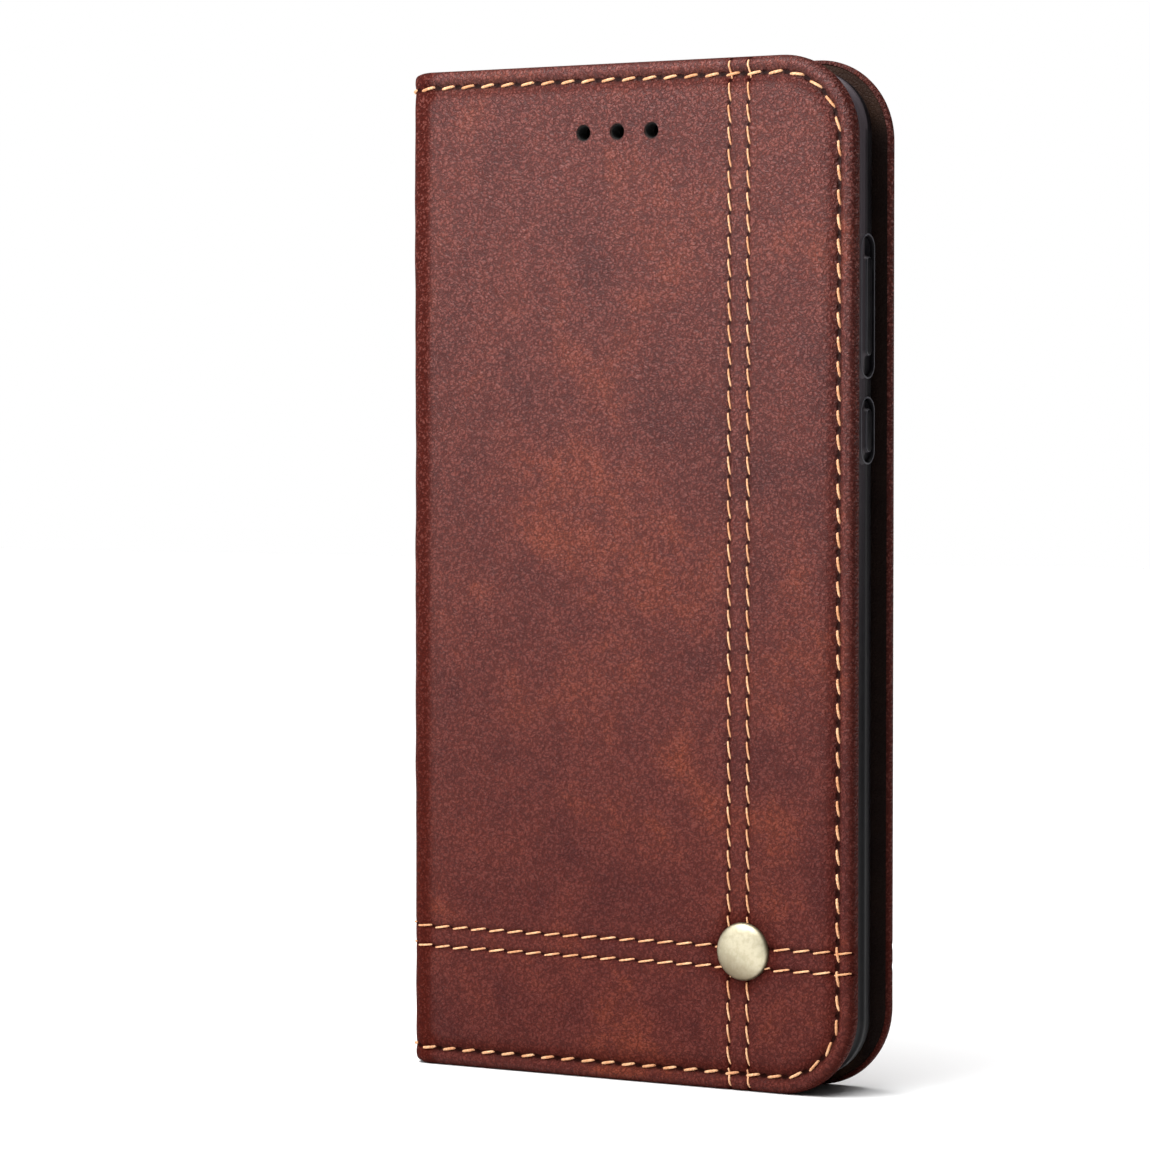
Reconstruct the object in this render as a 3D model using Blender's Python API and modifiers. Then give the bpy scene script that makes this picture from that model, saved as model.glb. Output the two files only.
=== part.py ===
"""Phone wallet case: two stiffened leather covers and a spine folded round a soft phone tray.

Metres, +Z up. The case stands closed on its bottom edge: the front cover faces -Y, the spine is at
-X and the free edge, with the tray's keys, is at +X. The origin is at the bottom middle of the
bounding box. Sizes below are in millimetres and become metres where a mesh or a curve is made.
"""
from math import cos, pi, sin

import bmesh
import bpy
from mathutils import Matrix, Vector

MM = 0.001

# The whole case
WIDTH = 79.5
HEIGHT = 158.0
THICKNESS = 13.8
CORNER_RADIUS = 12.8
STUD_HEIGHT = 1.6
LEFT = -WIDTH / 2
RIGHT = WIDTH / 2
FRONT = (STUD_HEIGHT - THICKNESS) / 2
BACK = FRONT + THICKNESS

# Folds: the leather turns round each long edge of the spine, about an axis inside that edge
CREASE_RADIUS = 2.4
CREASE_GAP = 0.05
PIVOT_INSET = 1.05
LAYER_START = 2.6

# Layers of each panel, outer leather first: (start, end) below the panel's outer face
FRONT_SKIN = (0.0, 0.8)
FRONT_BOARD = (0.84, 1.54)
FRONT_TURN_IN = (1.58, 2.08)
FRONT_LINING = (2.12, 2.42)
CASH_PANEL = (2.46, 2.70)
CARD_PANEL_REAR = (2.74, 2.98)
CARD_PANEL_FRONT = (3.02, 3.26)
SPINE_SKIN = (0.0, 0.7)
SPINE_BOARD = (0.74, 1.24)
SPINE_TURN_IN = (1.28, 1.68)
SPINE_LINING = (1.72, 2.06)
BACK_SKIN = (0.0, 0.6)
BACK_BOARD = (0.64, 1.14)
BACK_TURN_IN = (1.18, 1.48)
BACK_LINING = (1.52, 1.80)
ADHESIVE = (1.84, 1.94)
TRAY_FLOOR = 1.98

TURNED_EDGE = 1.1
TURN_IN_WIDTH = 8.0
RIM_ROUNDING = 0.75
BOARD_INSET = 1.3
LINING_INSET = 1.45
POCKET_INSET = 1.7

# Pockets on the inside of the front cover
CASH_PANEL_LEFT = -30.0
CASH_PANEL_TOP = 138.0
CARD_PANEL_LEFT = -22.0
CARD_REAR_TOP = 118.0
CARD_FRONT_TOP = 96.0

# Stitching: threads lie in shallow grooves in the leather
THREAD_RADIUS = 0.18
THREAD_DEPTH = 0.22
GROOVE_RADIUS = 0.36
GROOVE_DEPTH = 0.12
EDGE_STITCH = 2.6
STITCH_END_GAP = 1.3
COLUMN_X = (RIGHT - 21.2, RIGHT - 17.9)
ROW_Z = (18.8, 22.0)

# The round stud where the stitched columns and rows cross, and the row of ear speaker holes
STUD_X = RIGHT - 18.4
STUD_Z = 21.3
STUD_RADIUS = 4.5
STUD_LIFT = 0.05
STUD_SHANK_RADIUS = 1.4
STUD_FOOT_RADIUS = 3.5
STUD_FOOT = (1.6, 2.02)
SHANK_HOLE_RADIUS = 1.6
STITCH_UNDER_STUD = 3.2
SPEAKER_HOLE_X = (RIGHT - 34.9, RIGHT - 41.0, RIGHT - 47.1)
SPEAKER_HOLE_Z = HEIGHT - 10.7
SPEAKER_HOLE_RADIUS = 1.15

# Closing magnets, set in windows in both boards beside the free edge
MAGNET_SIZE = (5.0, 20.0)
MAGNET_X = RIGHT - 8.5
MAGNET_Z = (48.0, 106.0)
WINDOW_GAP = 0.12
MAGNET_GAP = 0.04

# Phone tray
TRAY_LEFT = -36.5
TRAY_RIGHT = 38.4
TRAY_BOTTOM = 2.05
TRAY_TOP = HEIGHT - TRAY_BOTTOM
TRAY_RIM = FRONT + 3.55
TRAY_BACK = BACK - TRAY_FLOOR
TRAY_WALL = 1.4
TRAY_FLOOR_THICKNESS = 0.8
TRAY_CORNER_RADIUS = 9.5
TRAY_ROUNDING = 4.5
HOLLOW_ROUNDING = 3.3
LIP_WIDTH = 0.6
LIP_HEIGHT = 0.7
PHONE_MIDDLE_X = (TRAY_LEFT + TRAY_RIGHT) / 2

# Openings for the camera, the plug, the speaker and the ear-phone jack
CAMERA_SIZE = (11.0, 26.0)
CAMERA_X = 24.5
CAMERA_Z = 136.0
PORT_Y = FRONT + 7.55
PLUG_SIZE = (13.0, 6.2)
SPEAKER_SIZE = (14.0, 2.2)
SPEAKER_X = PHONE_MIDDLE_X + 20.0
JACK_X = PHONE_MIDDLE_X - 20.0
JACK_SIZE = 6.4

# Key covers in the tray's free side: a thin plate that fills its opening, with a raised bar
KEY_Y = FRONT + 7.3
KEY_GAP = 0.3
KEY_OPENING_WIDTH = 3.75
KEY_BAR_WIDTH = 1.65
KEY_PLATE = (0.45, 1.15)
KEY_BAR_RISE = 0.35
VOLUME_OPENING = (109.3, 130.6)
VOLUME_BAR = (112.0, 127.0)
POWER_OPENING = (96.3, 105.9)
POWER_BAR = (97.9, 104.5)

ROUND_STEPS = 8
RIM_STEPS = 2
TRAY_STEPS = 5
HOLE_STEPS = 16
STUD_STEPS = 32
OVERCUT = 1.0

COLOURS = {
    "leather": ((0.187, 0.055, 0.045, 1), 0.5, 0.0),
    "lining": ((0.165, 0.060, 0.040, 1), 0.75, 0.0),
    "board": ((0.33, 0.30, 0.26, 1), 0.9, 0.0),
    "thread": ((0.80, 0.42, 0.22, 1), 0.7, 0.0),
    "brass": ((0.62, 0.54, 0.38, 1), 0.35, 1.0),
    "rubber": ((0.020, 0.018, 0.020, 1), 0.45, 0.0),
    "magnet": ((0.55, 0.55, 0.57, 1), 0.3, 1.0),
    "adhesive": ((0.75, 0.75, 0.72, 1), 0.6, 0.0),
}


def clear_scene():
    """Remove every object that the scene starts with."""
    for thing in list(bpy.data.objects):
        bpy.data.objects.remove(thing)


def make_collection(name):
    """Return a new collection under the scene."""
    collection = bpy.data.collections.new(name)
    bpy.context.scene.collection.children.link(collection)
    return collection


def make_material(name):
    """Return one piece's own Principled material in one of the named finishes."""
    colour, roughness, metallic = COLOURS[name]
    material = bpy.data.materials.new(name)
    material.use_nodes = True
    shader = material.node_tree.nodes["Principled BSDF"]
    shader.inputs["Base Color"].default_value = colour
    shader.inputs["Roughness"].default_value = roughness
    shader.inputs["Metallic"].default_value = metallic
    material.diffuse_color = colour
    return material


clear_scene()
CASE = make_collection("phone_wallet_case")
CUTTERS = make_collection("cutters")


# Bodies: each empty sits on the joint that its pieces turn or slide about


def body_empty(name, x, y, z, parent=None):
    """Add an empty on a joint axis for its pieces to hang from."""
    empty = bpy.data.objects.new(name, None)
    empty.empty_display_size = 0.01
    CASE.objects.link(empty)
    empty.location = Vector((x, y, z)) * MM
    if parent:
        empty.parent = parent
        empty.location -= parent.matrix_world.translation
    bpy.context.view_layer.update()
    return empty


# Meshes


def cube(low, high):
    """Return a bmesh box between two corners."""
    low, high = Vector(low) * MM, Vector(high) * MM
    mesh = bmesh.new()
    place = Matrix.Translation((low + high) / 2) @ Matrix.Diagonal((*(high - low), 1))
    bmesh.ops.create_cube(mesh, size=1.0, matrix=place)
    return mesh


def round_edges(mesh, radius, wanted, steps=ROUND_STEPS):
    """Round the edges whose two ends wanted() accepts."""
    edges = [edge for edge in mesh.edges if wanted(*[vert.co / MM for vert in edge.verts])]
    bmesh.ops.bevel(
        mesh, geom=edges, offset=radius * MM, offset_type="OFFSET", segments=steps,
        profile=0.5, affect="EDGES", clamp_overlap=True)


def along(axis, side=None):
    """Return a test for edges that run along an axis, on one side of a value of X if given."""
    def wanted(a, b):
        others = [i for i in range(3) if i != axis]
        runs = all(abs(a[i] - b[i]) < 1e-4 for i in others)
        return runs and (side is None or a.x > side)
    return wanted


def in_plane(axis, value, beyond=-1e9):
    """Return a test for the edges in a plane, leaving out those wholly at or before an X."""
    def wanted(a, b):
        flat = abs(a[axis] - value) < 1e-4 and abs(b[axis] - value) < 1e-4
        return flat and max(a.x, b.x) > beyond
    return wanted


def add_object(name, mesh_data, collection, empty=None):
    """Link a mesh or curve, with its origin on its body's joint if it has one."""
    thing = bpy.data.objects.new(name, mesh_data)
    collection.objects.link(thing)
    if empty:
        thing.parent = empty
        mesh_data.transform(Matrix.Translation(-empty.matrix_world.translation))
    return thing


def add_piece(name, mesh, finish, empty, smooth_angle=40):
    """Turn a bmesh into a named piece with its own material."""
    data = bpy.data.meshes.new(name)
    bmesh.ops.recalc_face_normals(mesh, faces=mesh.faces)
    mesh.to_mesh(data)
    mesh.free()
    data.shade_smooth()
    data.set_sharp_from_angle(angle=smooth_angle * pi / 180)
    thing = add_object(name, data, CASE, empty)
    data.materials.append(make_material(finish))
    return thing


def add_cutter(name, mesh):
    """Turn a bmesh into a hidden cutter."""
    data = bpy.data.meshes.new(name)
    bmesh.ops.recalc_face_normals(mesh, faces=mesh.faces)
    mesh.to_mesh(data)
    mesh.free()
    return hide_cutter(add_object(name, data, CUTTERS))


def hide_cutter(thing):
    """Keep a cutter out of renders and draw it as wire."""
    thing.hide_render = True
    thing.display_type = "WIRE"
    return thing


def cut(thing, *cutters):
    """Take each cutter away from a piece."""
    for cutter in cutters:
        boolean = thing.modifiers.new(cutter.name, "BOOLEAN")
        boolean.operation = "DIFFERENCE"
        boolean.solver = "EXACT"
        boolean.object = cutter


# Panels of the two covers


def panel(x0, x1, z0, z1, y0, y1, radius):
    """Return a flat panel with its two free-edge corners rounded."""
    mesh = cube((x0, y0, z0), (x1, y1, z1))
    if radius:
        round_edges(mesh, radius, along(1, side=(x0 + x1) / 2))
    return mesh


def cover_layer(face, direction, layer, inset, x0=LEFT + LAYER_START, top=HEIGHT):
    """Return one layer of a cover, from a given X to its inset free edge."""
    y0, y1 = sorted(face + direction * depth for depth in layer)
    upper = min(top, HEIGHT - inset)
    mesh = cube((x0, y0, inset), (RIGHT - inset, y1, upper))
    rounded = along(1, side=0)
    if top < HEIGHT:
        round_edges(mesh, CORNER_RADIUS - inset, lambda a, b: rounded(a, b) and a.z < HEIGHT / 2)
    else:
        round_edges(mesh, CORNER_RADIUS - inset, rounded)
    return mesh


def cover_skin(name, face, direction, skin, turn_in, empty):
    """Add a cover's outer leather: a sheet whose three outer edges turn in behind the board."""
    start = LEFT + CREASE_RADIUS + CREASE_GAP
    y0, y1 = sorted((face, face + direction * turn_in[1]))
    mesh = panel(start, RIGHT, 0, HEIGHT, y0, y1, CORNER_RADIUS)
    round_edges(mesh, RIM_ROUNDING, in_plane(1, face, start + 1e-3), RIM_STEPS)
    leather = add_piece(name, mesh, "leather", empty)
    y0, y1 = sorted(face + direction * depth for depth in (skin[1], turn_in[0]))
    room = panel(start - OVERCUT, RIGHT - TURNED_EDGE, TURNED_EDGE, HEIGHT - TURNED_EDGE,
                 y0, y1, CORNER_RADIUS - TURNED_EDGE)
    middle = (skin[1] + turn_in[0]) / 2
    y0, y1 = sorted(face + direction * depth for depth in (middle, turn_in[1] + OVERCUT))
    window = panel(start - OVERCUT, RIGHT - TURN_IN_WIDTH, TURN_IN_WIDTH, HEIGHT - TURN_IN_WIDTH,
                   y0, y1, CORNER_RADIUS - TURN_IN_WIDTH)
    cut(leather, add_cutter(name + "_room", room), add_cutter(name + "_window", window))
    return leather


# Threads


def rounded_path(corners, radius, steps=6):
    """Return the points of a path through corners, with an arc of one radius at each bend."""
    points = [corners[0]]
    for before, corner, after in zip(corners, corners[1:], corners[2:]):
        back = (before - corner).normalized()
        ahead = (after - corner).normalized()
        centre = corner + (back + ahead) * radius
        for i in range(steps + 1):
            turn = i / steps * pi / 2
            points.append(centre - ahead * radius * cos(turn) - back * radius * sin(turn))
    points.append(corners[-1])
    return points


def tube(name, points, radius):
    """Return curve data for a round tube through points, with closed ends."""
    curve = bpy.data.curves.new(name, "CURVE")
    curve.dimensions = "3D"
    curve.bevel_depth = radius * MM
    curve.bevel_resolution = 1
    curve.use_fill_caps = True
    spline = curve.splines.new("POLY")
    spline.points.add(len(points) - 1)
    for slot, point in zip(spline.points, points):
        slot.co = (*(point * MM), 1)
    return curve


def groove_cutter(name, points, radius):
    """Add a closed mesh tube that cuts a thread's groove."""
    source = bpy.data.objects.new(name, tube(name, points, radius))
    CUTTERS.objects.link(source)
    bpy.context.view_layer.update()
    data = bpy.data.meshes.new_from_object(source.evaluated_get(bpy.context.evaluated_depsgraph_get()))
    mesh = bmesh.new()
    mesh.from_mesh(data)
    bmesh.ops.remove_doubles(mesh, verts=mesh.verts, dist=1e-7)
    mesh.to_mesh(data)
    mesh.free()
    thing = bpy.data.objects.new(name, data)
    thing.matrix_world = source.matrix_world.copy()
    CUTTERS.objects.link(thing)
    bpy.data.objects.remove(source)
    return hide_cutter(thing)


def stitch(name, flat_points, to_world, empty, leather, bend_radius=0.0, through=0.0):
    """Lay one thread in its own groove in a leather sheet.

    flat_points run on the sheet's outer face, to_world(u, z, depth) places them, and the groove
    runs past both ends of the thread by `through`.
    """
    def placed(depth, extra):
        corners = [to_world(u, z, depth) for u, z in flat_points]
        corners[0] = corners[0] + (corners[0] - corners[1]).normalized() * extra
        corners[-1] = corners[-1] + (corners[-1] - corners[-2]).normalized() * extra
        return rounded_path(corners, bend_radius) if bend_radius else corners

    curve = tube(name, placed(THREAD_DEPTH, 0.0), THREAD_RADIUS)
    thing = add_object(name, curve, CASE, empty)
    curve.materials.append(make_material("thread"))
    cut(leather, groove_cutter(name + "_groove", placed(GROOVE_DEPTH, through), GROOVE_RADIUS))
    return thing


def on_front(x, z, depth):
    """Place a point at a depth below the front cover's outer face."""
    return Vector((x, FRONT + depth, z))


def on_back(x, z, depth):
    """Place a point at a depth below the back cover's outer face."""
    return Vector((x, BACK - depth, z))


def on_spine(y, z, depth):
    """Place a point at a depth below the spine's outer face."""
    return Vector((LEFT + depth, y, z))


def edge_stitch(name, to_world, empty, leather):
    """Lay the thread that follows a cover's three outer edges."""
    start = LEFT + CREASE_RADIUS + 0.4
    points = [(start, HEIGHT - EDGE_STITCH), (RIGHT - EDGE_STITCH, HEIGHT - EDGE_STITCH),
              (RIGHT - EDGE_STITCH, EDGE_STITCH), (start, EDGE_STITCH)]
    stitch(name, points, to_world, empty, leather, CORNER_RADIUS - EDGE_STITCH, through=OVERCUT)


# Cutters that several pieces share


def pill_y(name, x, z, width, height, y0, y1):
    """Add a cutter along Y with a rounded-end outline."""
    mesh = cube((x - width / 2, y0, z - height / 2), (x + width / 2, y1, z + height / 2))
    round_edges(mesh, min(width, height) * 0.49, along(1))
    return add_cutter(name, mesh)


def pill_z(name, x, y, width, height, z0, z1):
    """Add a cutter along Z with a rounded-end outline."""
    mesh = cube((x - width / 2, y - height / 2, z0), (x + width / 2, y + height / 2, z1))
    round_edges(mesh, min(width, height) * 0.49, along(2), HOLE_STEPS // 4)
    return add_cutter(name, mesh)


def cylinder_y(name, x, z, radius, y0, y1):
    """Add a round cutter along Y."""
    mesh = bmesh.new()
    place = Matrix.Translation(Vector((x, (y0 + y1) / 2, z)) * MM) @ Matrix.Rotation(pi / 2, 4, "X")
    bmesh.ops.create_cone(mesh, cap_ends=True, segments=HOLE_STEPS, radius1=radius * MM,
                          radius2=radius * MM, depth=(y1 - y0) * MM, matrix=place)
    return add_cutter(name, mesh)


def magnet_block(z, y0, y1, gap):
    """Return a magnet's block, or with a gap round it the window that it sits in."""
    across, tall = MAGNET_SIZE
    return cube((MAGNET_X - across / 2 - gap, y0, z - tall / 2 - gap),
                (MAGNET_X + across / 2 + gap, y1, z + tall / 2 + gap))


def add_magnets(side, board, face, direction, layer, empty):
    """Set two magnets in windows in a cover's board."""
    y0, y1 = sorted(face + direction * depth for depth in layer)
    for place, z in zip(("lower", "upper"), MAGNET_Z):
        name = side + "_magnet_" + place
        window = magnet_block(z, y0 - OVERCUT, y1 + OVERCUT, WINDOW_GAP)
        cut(board, add_cutter(name + "_window", window))
        add_piece(name, magnet_block(z, y0 + MAGNET_GAP, y1 - MAGNET_GAP, 0.0), "magnet", empty)


# Front cover


def add_turned(name, profile, finish, empty):
    """Add a turned piece on the stud's axis, from (radius, height above the leather) points."""
    data = bpy.data.meshes.new(name)
    data.from_pydata([(r * MM, 0, h * MM) for r, h in profile],
                     [(i, i + 1) for i in range(len(profile) - 1)], [])
    thing = bpy.data.objects.new(name, data)
    CASE.objects.link(thing)
    thing.parent = empty
    thing.rotation_euler = (pi / 2, 0, 0)
    thing.location = Vector((STUD_X, FRONT, STUD_Z)) * MM - empty.matrix_world.translation
    screw = thing.modifiers.new("turn", "SCREW")
    screw.steps = STUD_STEPS
    screw.render_steps = STUD_STEPS
    screw.use_merge_vertices = True
    screw.merge_threshold = 1e-6
    screw.use_smooth_shade = True
    data.materials.append(make_material(finish))
    return thing


def stud_cap_profile():
    """Return the domed cap's outline: over the dome, down the rim and up the socket."""
    rim = 0.45
    rise = STUD_HEIGHT - rim
    outline = [(STUD_RADIUS * sin(a), rim + rise * cos(a)) for a in (i * pi / 16 for i in range(8))]
    outline[0] = (0.0, STUD_HEIGHT)
    socket = STUD_SHANK_RADIUS + 0.1
    outline += [(STUD_RADIUS, rim), (STUD_RADIUS - 0.15, STUD_LIFT), (socket, STUD_LIFT),
                (socket, STUD_HEIGHT - 0.5), (0.0, STUD_HEIGHT - 0.5)]
    return outline


def add_stud(empty):
    """Add the domed cap and the post that holds it through the leather and the board."""
    add_turned("stud_cap", stud_cap_profile(), "brass", empty)
    top = STUD_HEIGHT - 0.6
    post = [(0.0, top), (STUD_SHANK_RADIUS, top), (STUD_SHANK_RADIUS, -STUD_FOOT[0]),
            (STUD_FOOT_RADIUS, -STUD_FOOT[0]), (STUD_FOOT_RADIUS, -STUD_FOOT[1]),
            (0.0, -STUD_FOOT[1])]
    add_turned("stud_post", post, "brass", empty)


def stitch_decoration(empty, leather):
    """Lay the paired threads that run up, down and to both sides from under the stud."""
    left, right = COLUMN_X
    low, high = ROW_Z
    top = HEIGHT - EDGE_STITCH - STITCH_END_GAP
    bottom = EDGE_STITCH + STITCH_END_GAP
    inner = LEFT + CREASE_RADIUS + 0.4
    outer = RIGHT - EDGE_STITCH - STITCH_END_GAP
    reach = STITCH_UNDER_STUD
    pairs = {
        "front_column_thread_upper": [(left, top), (left, STUD_Z + reach), (right, STUD_Z + reach),
                                      (right, top)],
        "front_column_thread_lower": [(left, bottom), (left, STUD_Z - reach),
                                      (right, STUD_Z - reach), (right, bottom)],
        "front_row_thread_inner": [(inner, high), (STUD_X - reach, high), (STUD_X - reach, low),
                                   (inner, low)],
        "front_row_thread_outer": [(outer, high), (STUD_X + reach, high), (STUD_X + reach, low),
                                   (outer, low)],
    }
    for name, points in pairs.items():
        past = OVERCUT if name.endswith("inner") else 0.15
        stitch(name, points, on_front, empty, leather, bend_radius=0.5, through=past)


def add_front_cover(empty):
    """Build the front cover: leather, board, lining, pockets, magnets, stud and threads."""
    leather = cover_skin("front_cover_skin", FRONT, 1, FRONT_SKIN, FRONT_TURN_IN, empty)
    board = add_piece("front_cover_board", cover_layer(FRONT, 1, FRONT_BOARD, BOARD_INSET),
                      "board", empty)
    lining = add_piece("front_cover_lining", cover_layer(FRONT, 1, FRONT_LINING, LINING_INSET),
                       "lining", empty)
    pockets = {
        "cash_pocket_panel": (CASH_PANEL, CASH_PANEL_LEFT, CASH_PANEL_TOP),
        "card_pocket_rear": (CARD_PANEL_REAR, CARD_PANEL_LEFT, CARD_REAR_TOP),
        "card_pocket_front": (CARD_PANEL_FRONT, CARD_PANEL_LEFT, CARD_FRONT_TOP),
    }
    for name, (layer, start, top) in pockets.items():
        add_piece(name, cover_layer(FRONT, 1, layer, POCKET_INSET, start, top), "lining", empty)
    add_magnets("front", board, FRONT, 1, FRONT_BOARD, empty)
    through = (FRONT - OVERCUT, FRONT + CASH_PANEL[1] + OVERCUT)
    for i, x in enumerate(SPEAKER_HOLE_X):
        hole = cylinder_y(f"ear_hole_{i + 1}", x, SPEAKER_HOLE_Z, SPEAKER_HOLE_RADIUS, *through)
        for sheet in (leather, board, lining):
            cut(sheet, hole)
    shank = cylinder_y("shank_hole", STUD_X, STUD_Z, SHANK_HOLE_RADIUS, *through)
    cut(leather, shank)
    cut(board, shank)
    add_stud(empty)
    edge_stitch("front_edge_thread", on_front, empty, leather)
    stitch_decoration(empty, leather)


# Spine


def add_crease(name, face, direction, empty):
    """Add the leather that turns round one long edge of the spine."""
    centre = Vector((LEFT + CREASE_RADIUS, face + direction * CREASE_RADIUS, 0)) * MM
    thickness = FRONT_SKIN[1] if direction > 0 else BACK_SKIN[1]
    mesh = bmesh.new()
    steps = ROUND_STEPS
    angles = [pi + i / steps * pi / 2 for i in range(steps + 1)]
    outer = [Vector((cos(a), direction * sin(a), 0)) * CREASE_RADIUS * MM for a in angles]
    inner = [point * (1 - thickness / CREASE_RADIUS) for point in outer]
    ring = [mesh.verts.new(centre + point) for point in outer + inner[::-1]]
    face_below = mesh.faces.new(ring)
    lifted = bmesh.ops.extrude_face_region(mesh, geom=[face_below])
    moved = [item for item in lifted["geom"] if isinstance(item, bmesh.types.BMVert)]
    bmesh.ops.translate(mesh, verts=moved, vec=(0, 0, HEIGHT * MM))
    return add_piece(name, mesh, "leather", empty)


def spine_layer(layer, inset):
    """Return one inner layer of the spine."""
    return cube((LEFT + layer[0], FRONT + LAYER_START, inset),
                (LEFT + layer[1], BACK - LAYER_START, HEIGHT - inset))


def add_spine(empty):
    """Build the spine: leather turned in at both ends, board, lining, creases and threads."""
    y0 = FRONT + CREASE_RADIUS + CREASE_GAP
    y1 = BACK - CREASE_RADIUS - CREASE_GAP
    mesh = cube((LEFT, y0, 0), (LEFT + SPINE_TURN_IN[1], y1, HEIGHT))
    leather = add_piece("spine_skin", mesh, "leather", empty)
    room = cube((LEFT + SPINE_SKIN[1], y0 - OVERCUT, TURNED_EDGE),
                (LEFT + SPINE_TURN_IN[0], y1 + OVERCUT, HEIGHT - TURNED_EDGE))
    window = cube((LEFT + (SPINE_SKIN[1] + SPINE_TURN_IN[0]) / 2, y0 - OVERCUT, TURN_IN_WIDTH),
                  (LEFT + SPINE_TURN_IN[1] + OVERCUT, y1 + OVERCUT, HEIGHT - TURN_IN_WIDTH))
    cut(leather, add_cutter("spine_room", room), add_cutter("spine_window", window))
    add_piece("spine_board", spine_layer(SPINE_BOARD, BOARD_INSET), "board", empty)
    add_piece("spine_lining", spine_layer(SPINE_LINING, LINING_INSET), "lining", empty)
    add_crease("front_crease", FRONT, 1, empty)
    add_crease("back_crease", BACK, -1, empty)
    heights = {
        "spine_edge_thread_bottom": EDGE_STITCH,
        "spine_row_thread_lower": ROW_Z[0],
        "spine_row_thread_upper": ROW_Z[1],
        "spine_edge_thread_top": HEIGHT - EDGE_STITCH,
    }
    for name, z in heights.items():
        points = [(y0 + 0.35, z), (y1 - 0.35, z)]
        stitch(name, points, on_spine, empty, leather, through=OVERCUT)


# Back cover and tray


def add_keys(tray, volume_empty, power_empty):
    """Add both key covers and cut their openings in the tray's free side."""
    keys = (("volume_key_cover", VOLUME_OPENING, VOLUME_BAR, volume_empty),
            ("power_key_cover", POWER_OPENING, POWER_BAR, power_empty))
    for name, opening, bar, empty in keys:
        half = KEY_OPENING_WIDTH / 2
        hole = cube((TRAY_RIGHT - 2 * TRAY_WALL, KEY_Y - half, opening[0]),
                    (TRAY_RIGHT + OVERCUT, KEY_Y + half, opening[1]))
        round_edges(hole, half * 0.98, along(0))
        cut(tray, add_cutter(name + "_opening", hole))
        half -= KEY_GAP
        plate = cube((TRAY_RIGHT - KEY_PLATE[1], KEY_Y - half, opening[0] + KEY_GAP),
                     (TRAY_RIGHT - KEY_PLATE[0], KEY_Y + half, opening[1] - KEY_GAP))
        round_edges(plate, half * 0.98, along(0))
        key = add_piece(name, plate, "rubber", empty)
        half = KEY_BAR_WIDTH / 2
        raised = cube((TRAY_RIGHT - KEY_PLATE[1] + 0.2, KEY_Y - half, bar[0]),
                      (TRAY_RIGHT + KEY_BAR_RISE, KEY_Y + half, bar[1]))
        round_edges(raised, half * 0.98, along(0), HOLE_STEPS // 4)
        union = key.modifiers.new("bar", "BOOLEAN")
        union.operation = "UNION"
        union.solver = "EXACT"
        union.object = add_cutter(name + "_bar", raised)


def tray_box(inset, y0, y1):
    """Return a block with the tray's rounded outline, inset from its outer wall."""
    mesh = cube((TRAY_LEFT + inset, y0, TRAY_BOTTOM + inset),
                (TRAY_RIGHT - inset, y1, TRAY_TOP - inset))
    round_edges(mesh, TRAY_CORNER_RADIUS - inset, along(1))
    return mesh


def add_tray(camera):
    """Add the phone tray: floor, walls, a lip over the phone's edge, and its openings."""
    mesh = tray_box(0, TRAY_RIM, TRAY_BACK)
    round_edges(mesh, TRAY_ROUNDING, in_plane(1, TRAY_BACK), TRAY_STEPS)
    round_edges(mesh, LIP_WIDTH, in_plane(1, TRAY_RIM), RIM_STEPS)
    tray = add_piece("phone_tray", mesh, "rubber", None)
    floor = TRAY_BACK - TRAY_FLOOR_THICKNESS
    space = tray_box(TRAY_WALL, TRAY_RIM + LIP_HEIGHT, floor)
    round_edges(space, HOLLOW_ROUNDING, in_plane(1, floor), TRAY_STEPS)
    hollow = add_cutter("tray_hollow", space)
    mouth = add_cutter("tray_mouth", tray_box(TRAY_WALL + LIP_WIDTH, TRAY_RIM - OVERCUT,
                                              TRAY_RIM + LIP_HEIGHT + OVERCUT))
    low, high = TRAY_BOTTOM - OVERCUT, TRAY_BOTTOM + TRAY_WALL + HOLLOW_ROUNDING
    plug = pill_z("plug_opening", PHONE_MIDDLE_X, PORT_Y, *PLUG_SIZE, low, high)
    speaker = pill_z("speaker_opening", SPEAKER_X, PORT_Y, *SPEAKER_SIZE, low, high)
    jack = pill_z("jack_opening", JACK_X, PORT_Y, JACK_SIZE, JACK_SIZE - 0.01, low, high)
    cut(tray, hollow, mouth, camera, plug, speaker, jack)
    return tray


def add_back_cover():
    """Build the fixed half: leather, board, lining, magnets, threads, adhesive and tray."""
    leather = cover_skin("back_cover_skin", BACK, -1, BACK_SKIN, BACK_TURN_IN, None)
    board = add_piece("back_cover_board", cover_layer(BACK, -1, BACK_BOARD, BOARD_INSET),
                      "board", None)
    lining = add_piece("back_cover_lining", cover_layer(BACK, -1, BACK_LINING, LINING_INSET),
                       "lining", None)
    y0, y1 = sorted(BACK - depth for depth in ADHESIVE)
    adhesive = add_piece("tray_adhesive", tray_box(TRAY_ROUNDING + 0.3, y0, y1), "adhesive", None)
    add_magnets("back", board, BACK, -1, BACK_BOARD, None)
    edge_stitch("back_edge_thread", on_back, None, leather)
    inner = LEFT + CREASE_RADIUS + 0.4
    outer = RIGHT - EDGE_STITCH - STITCH_END_GAP
    for place, z in zip(("lower", "upper"), ROW_Z):
        stitch("back_row_thread_" + place, [(outer, z), (inner, z)], on_back, None, leather,
               through=0.38)
    camera = pill_y("camera_opening", CAMERA_X, CAMERA_Z, *CAMERA_SIZE,
                    TRAY_BACK - 2 * TRAY_FLOOR_THICKNESS, BACK + OVERCUT)
    for sheet in (leather, board, lining, adhesive):
        cut(sheet, camera)
    return add_tray(camera)


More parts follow.
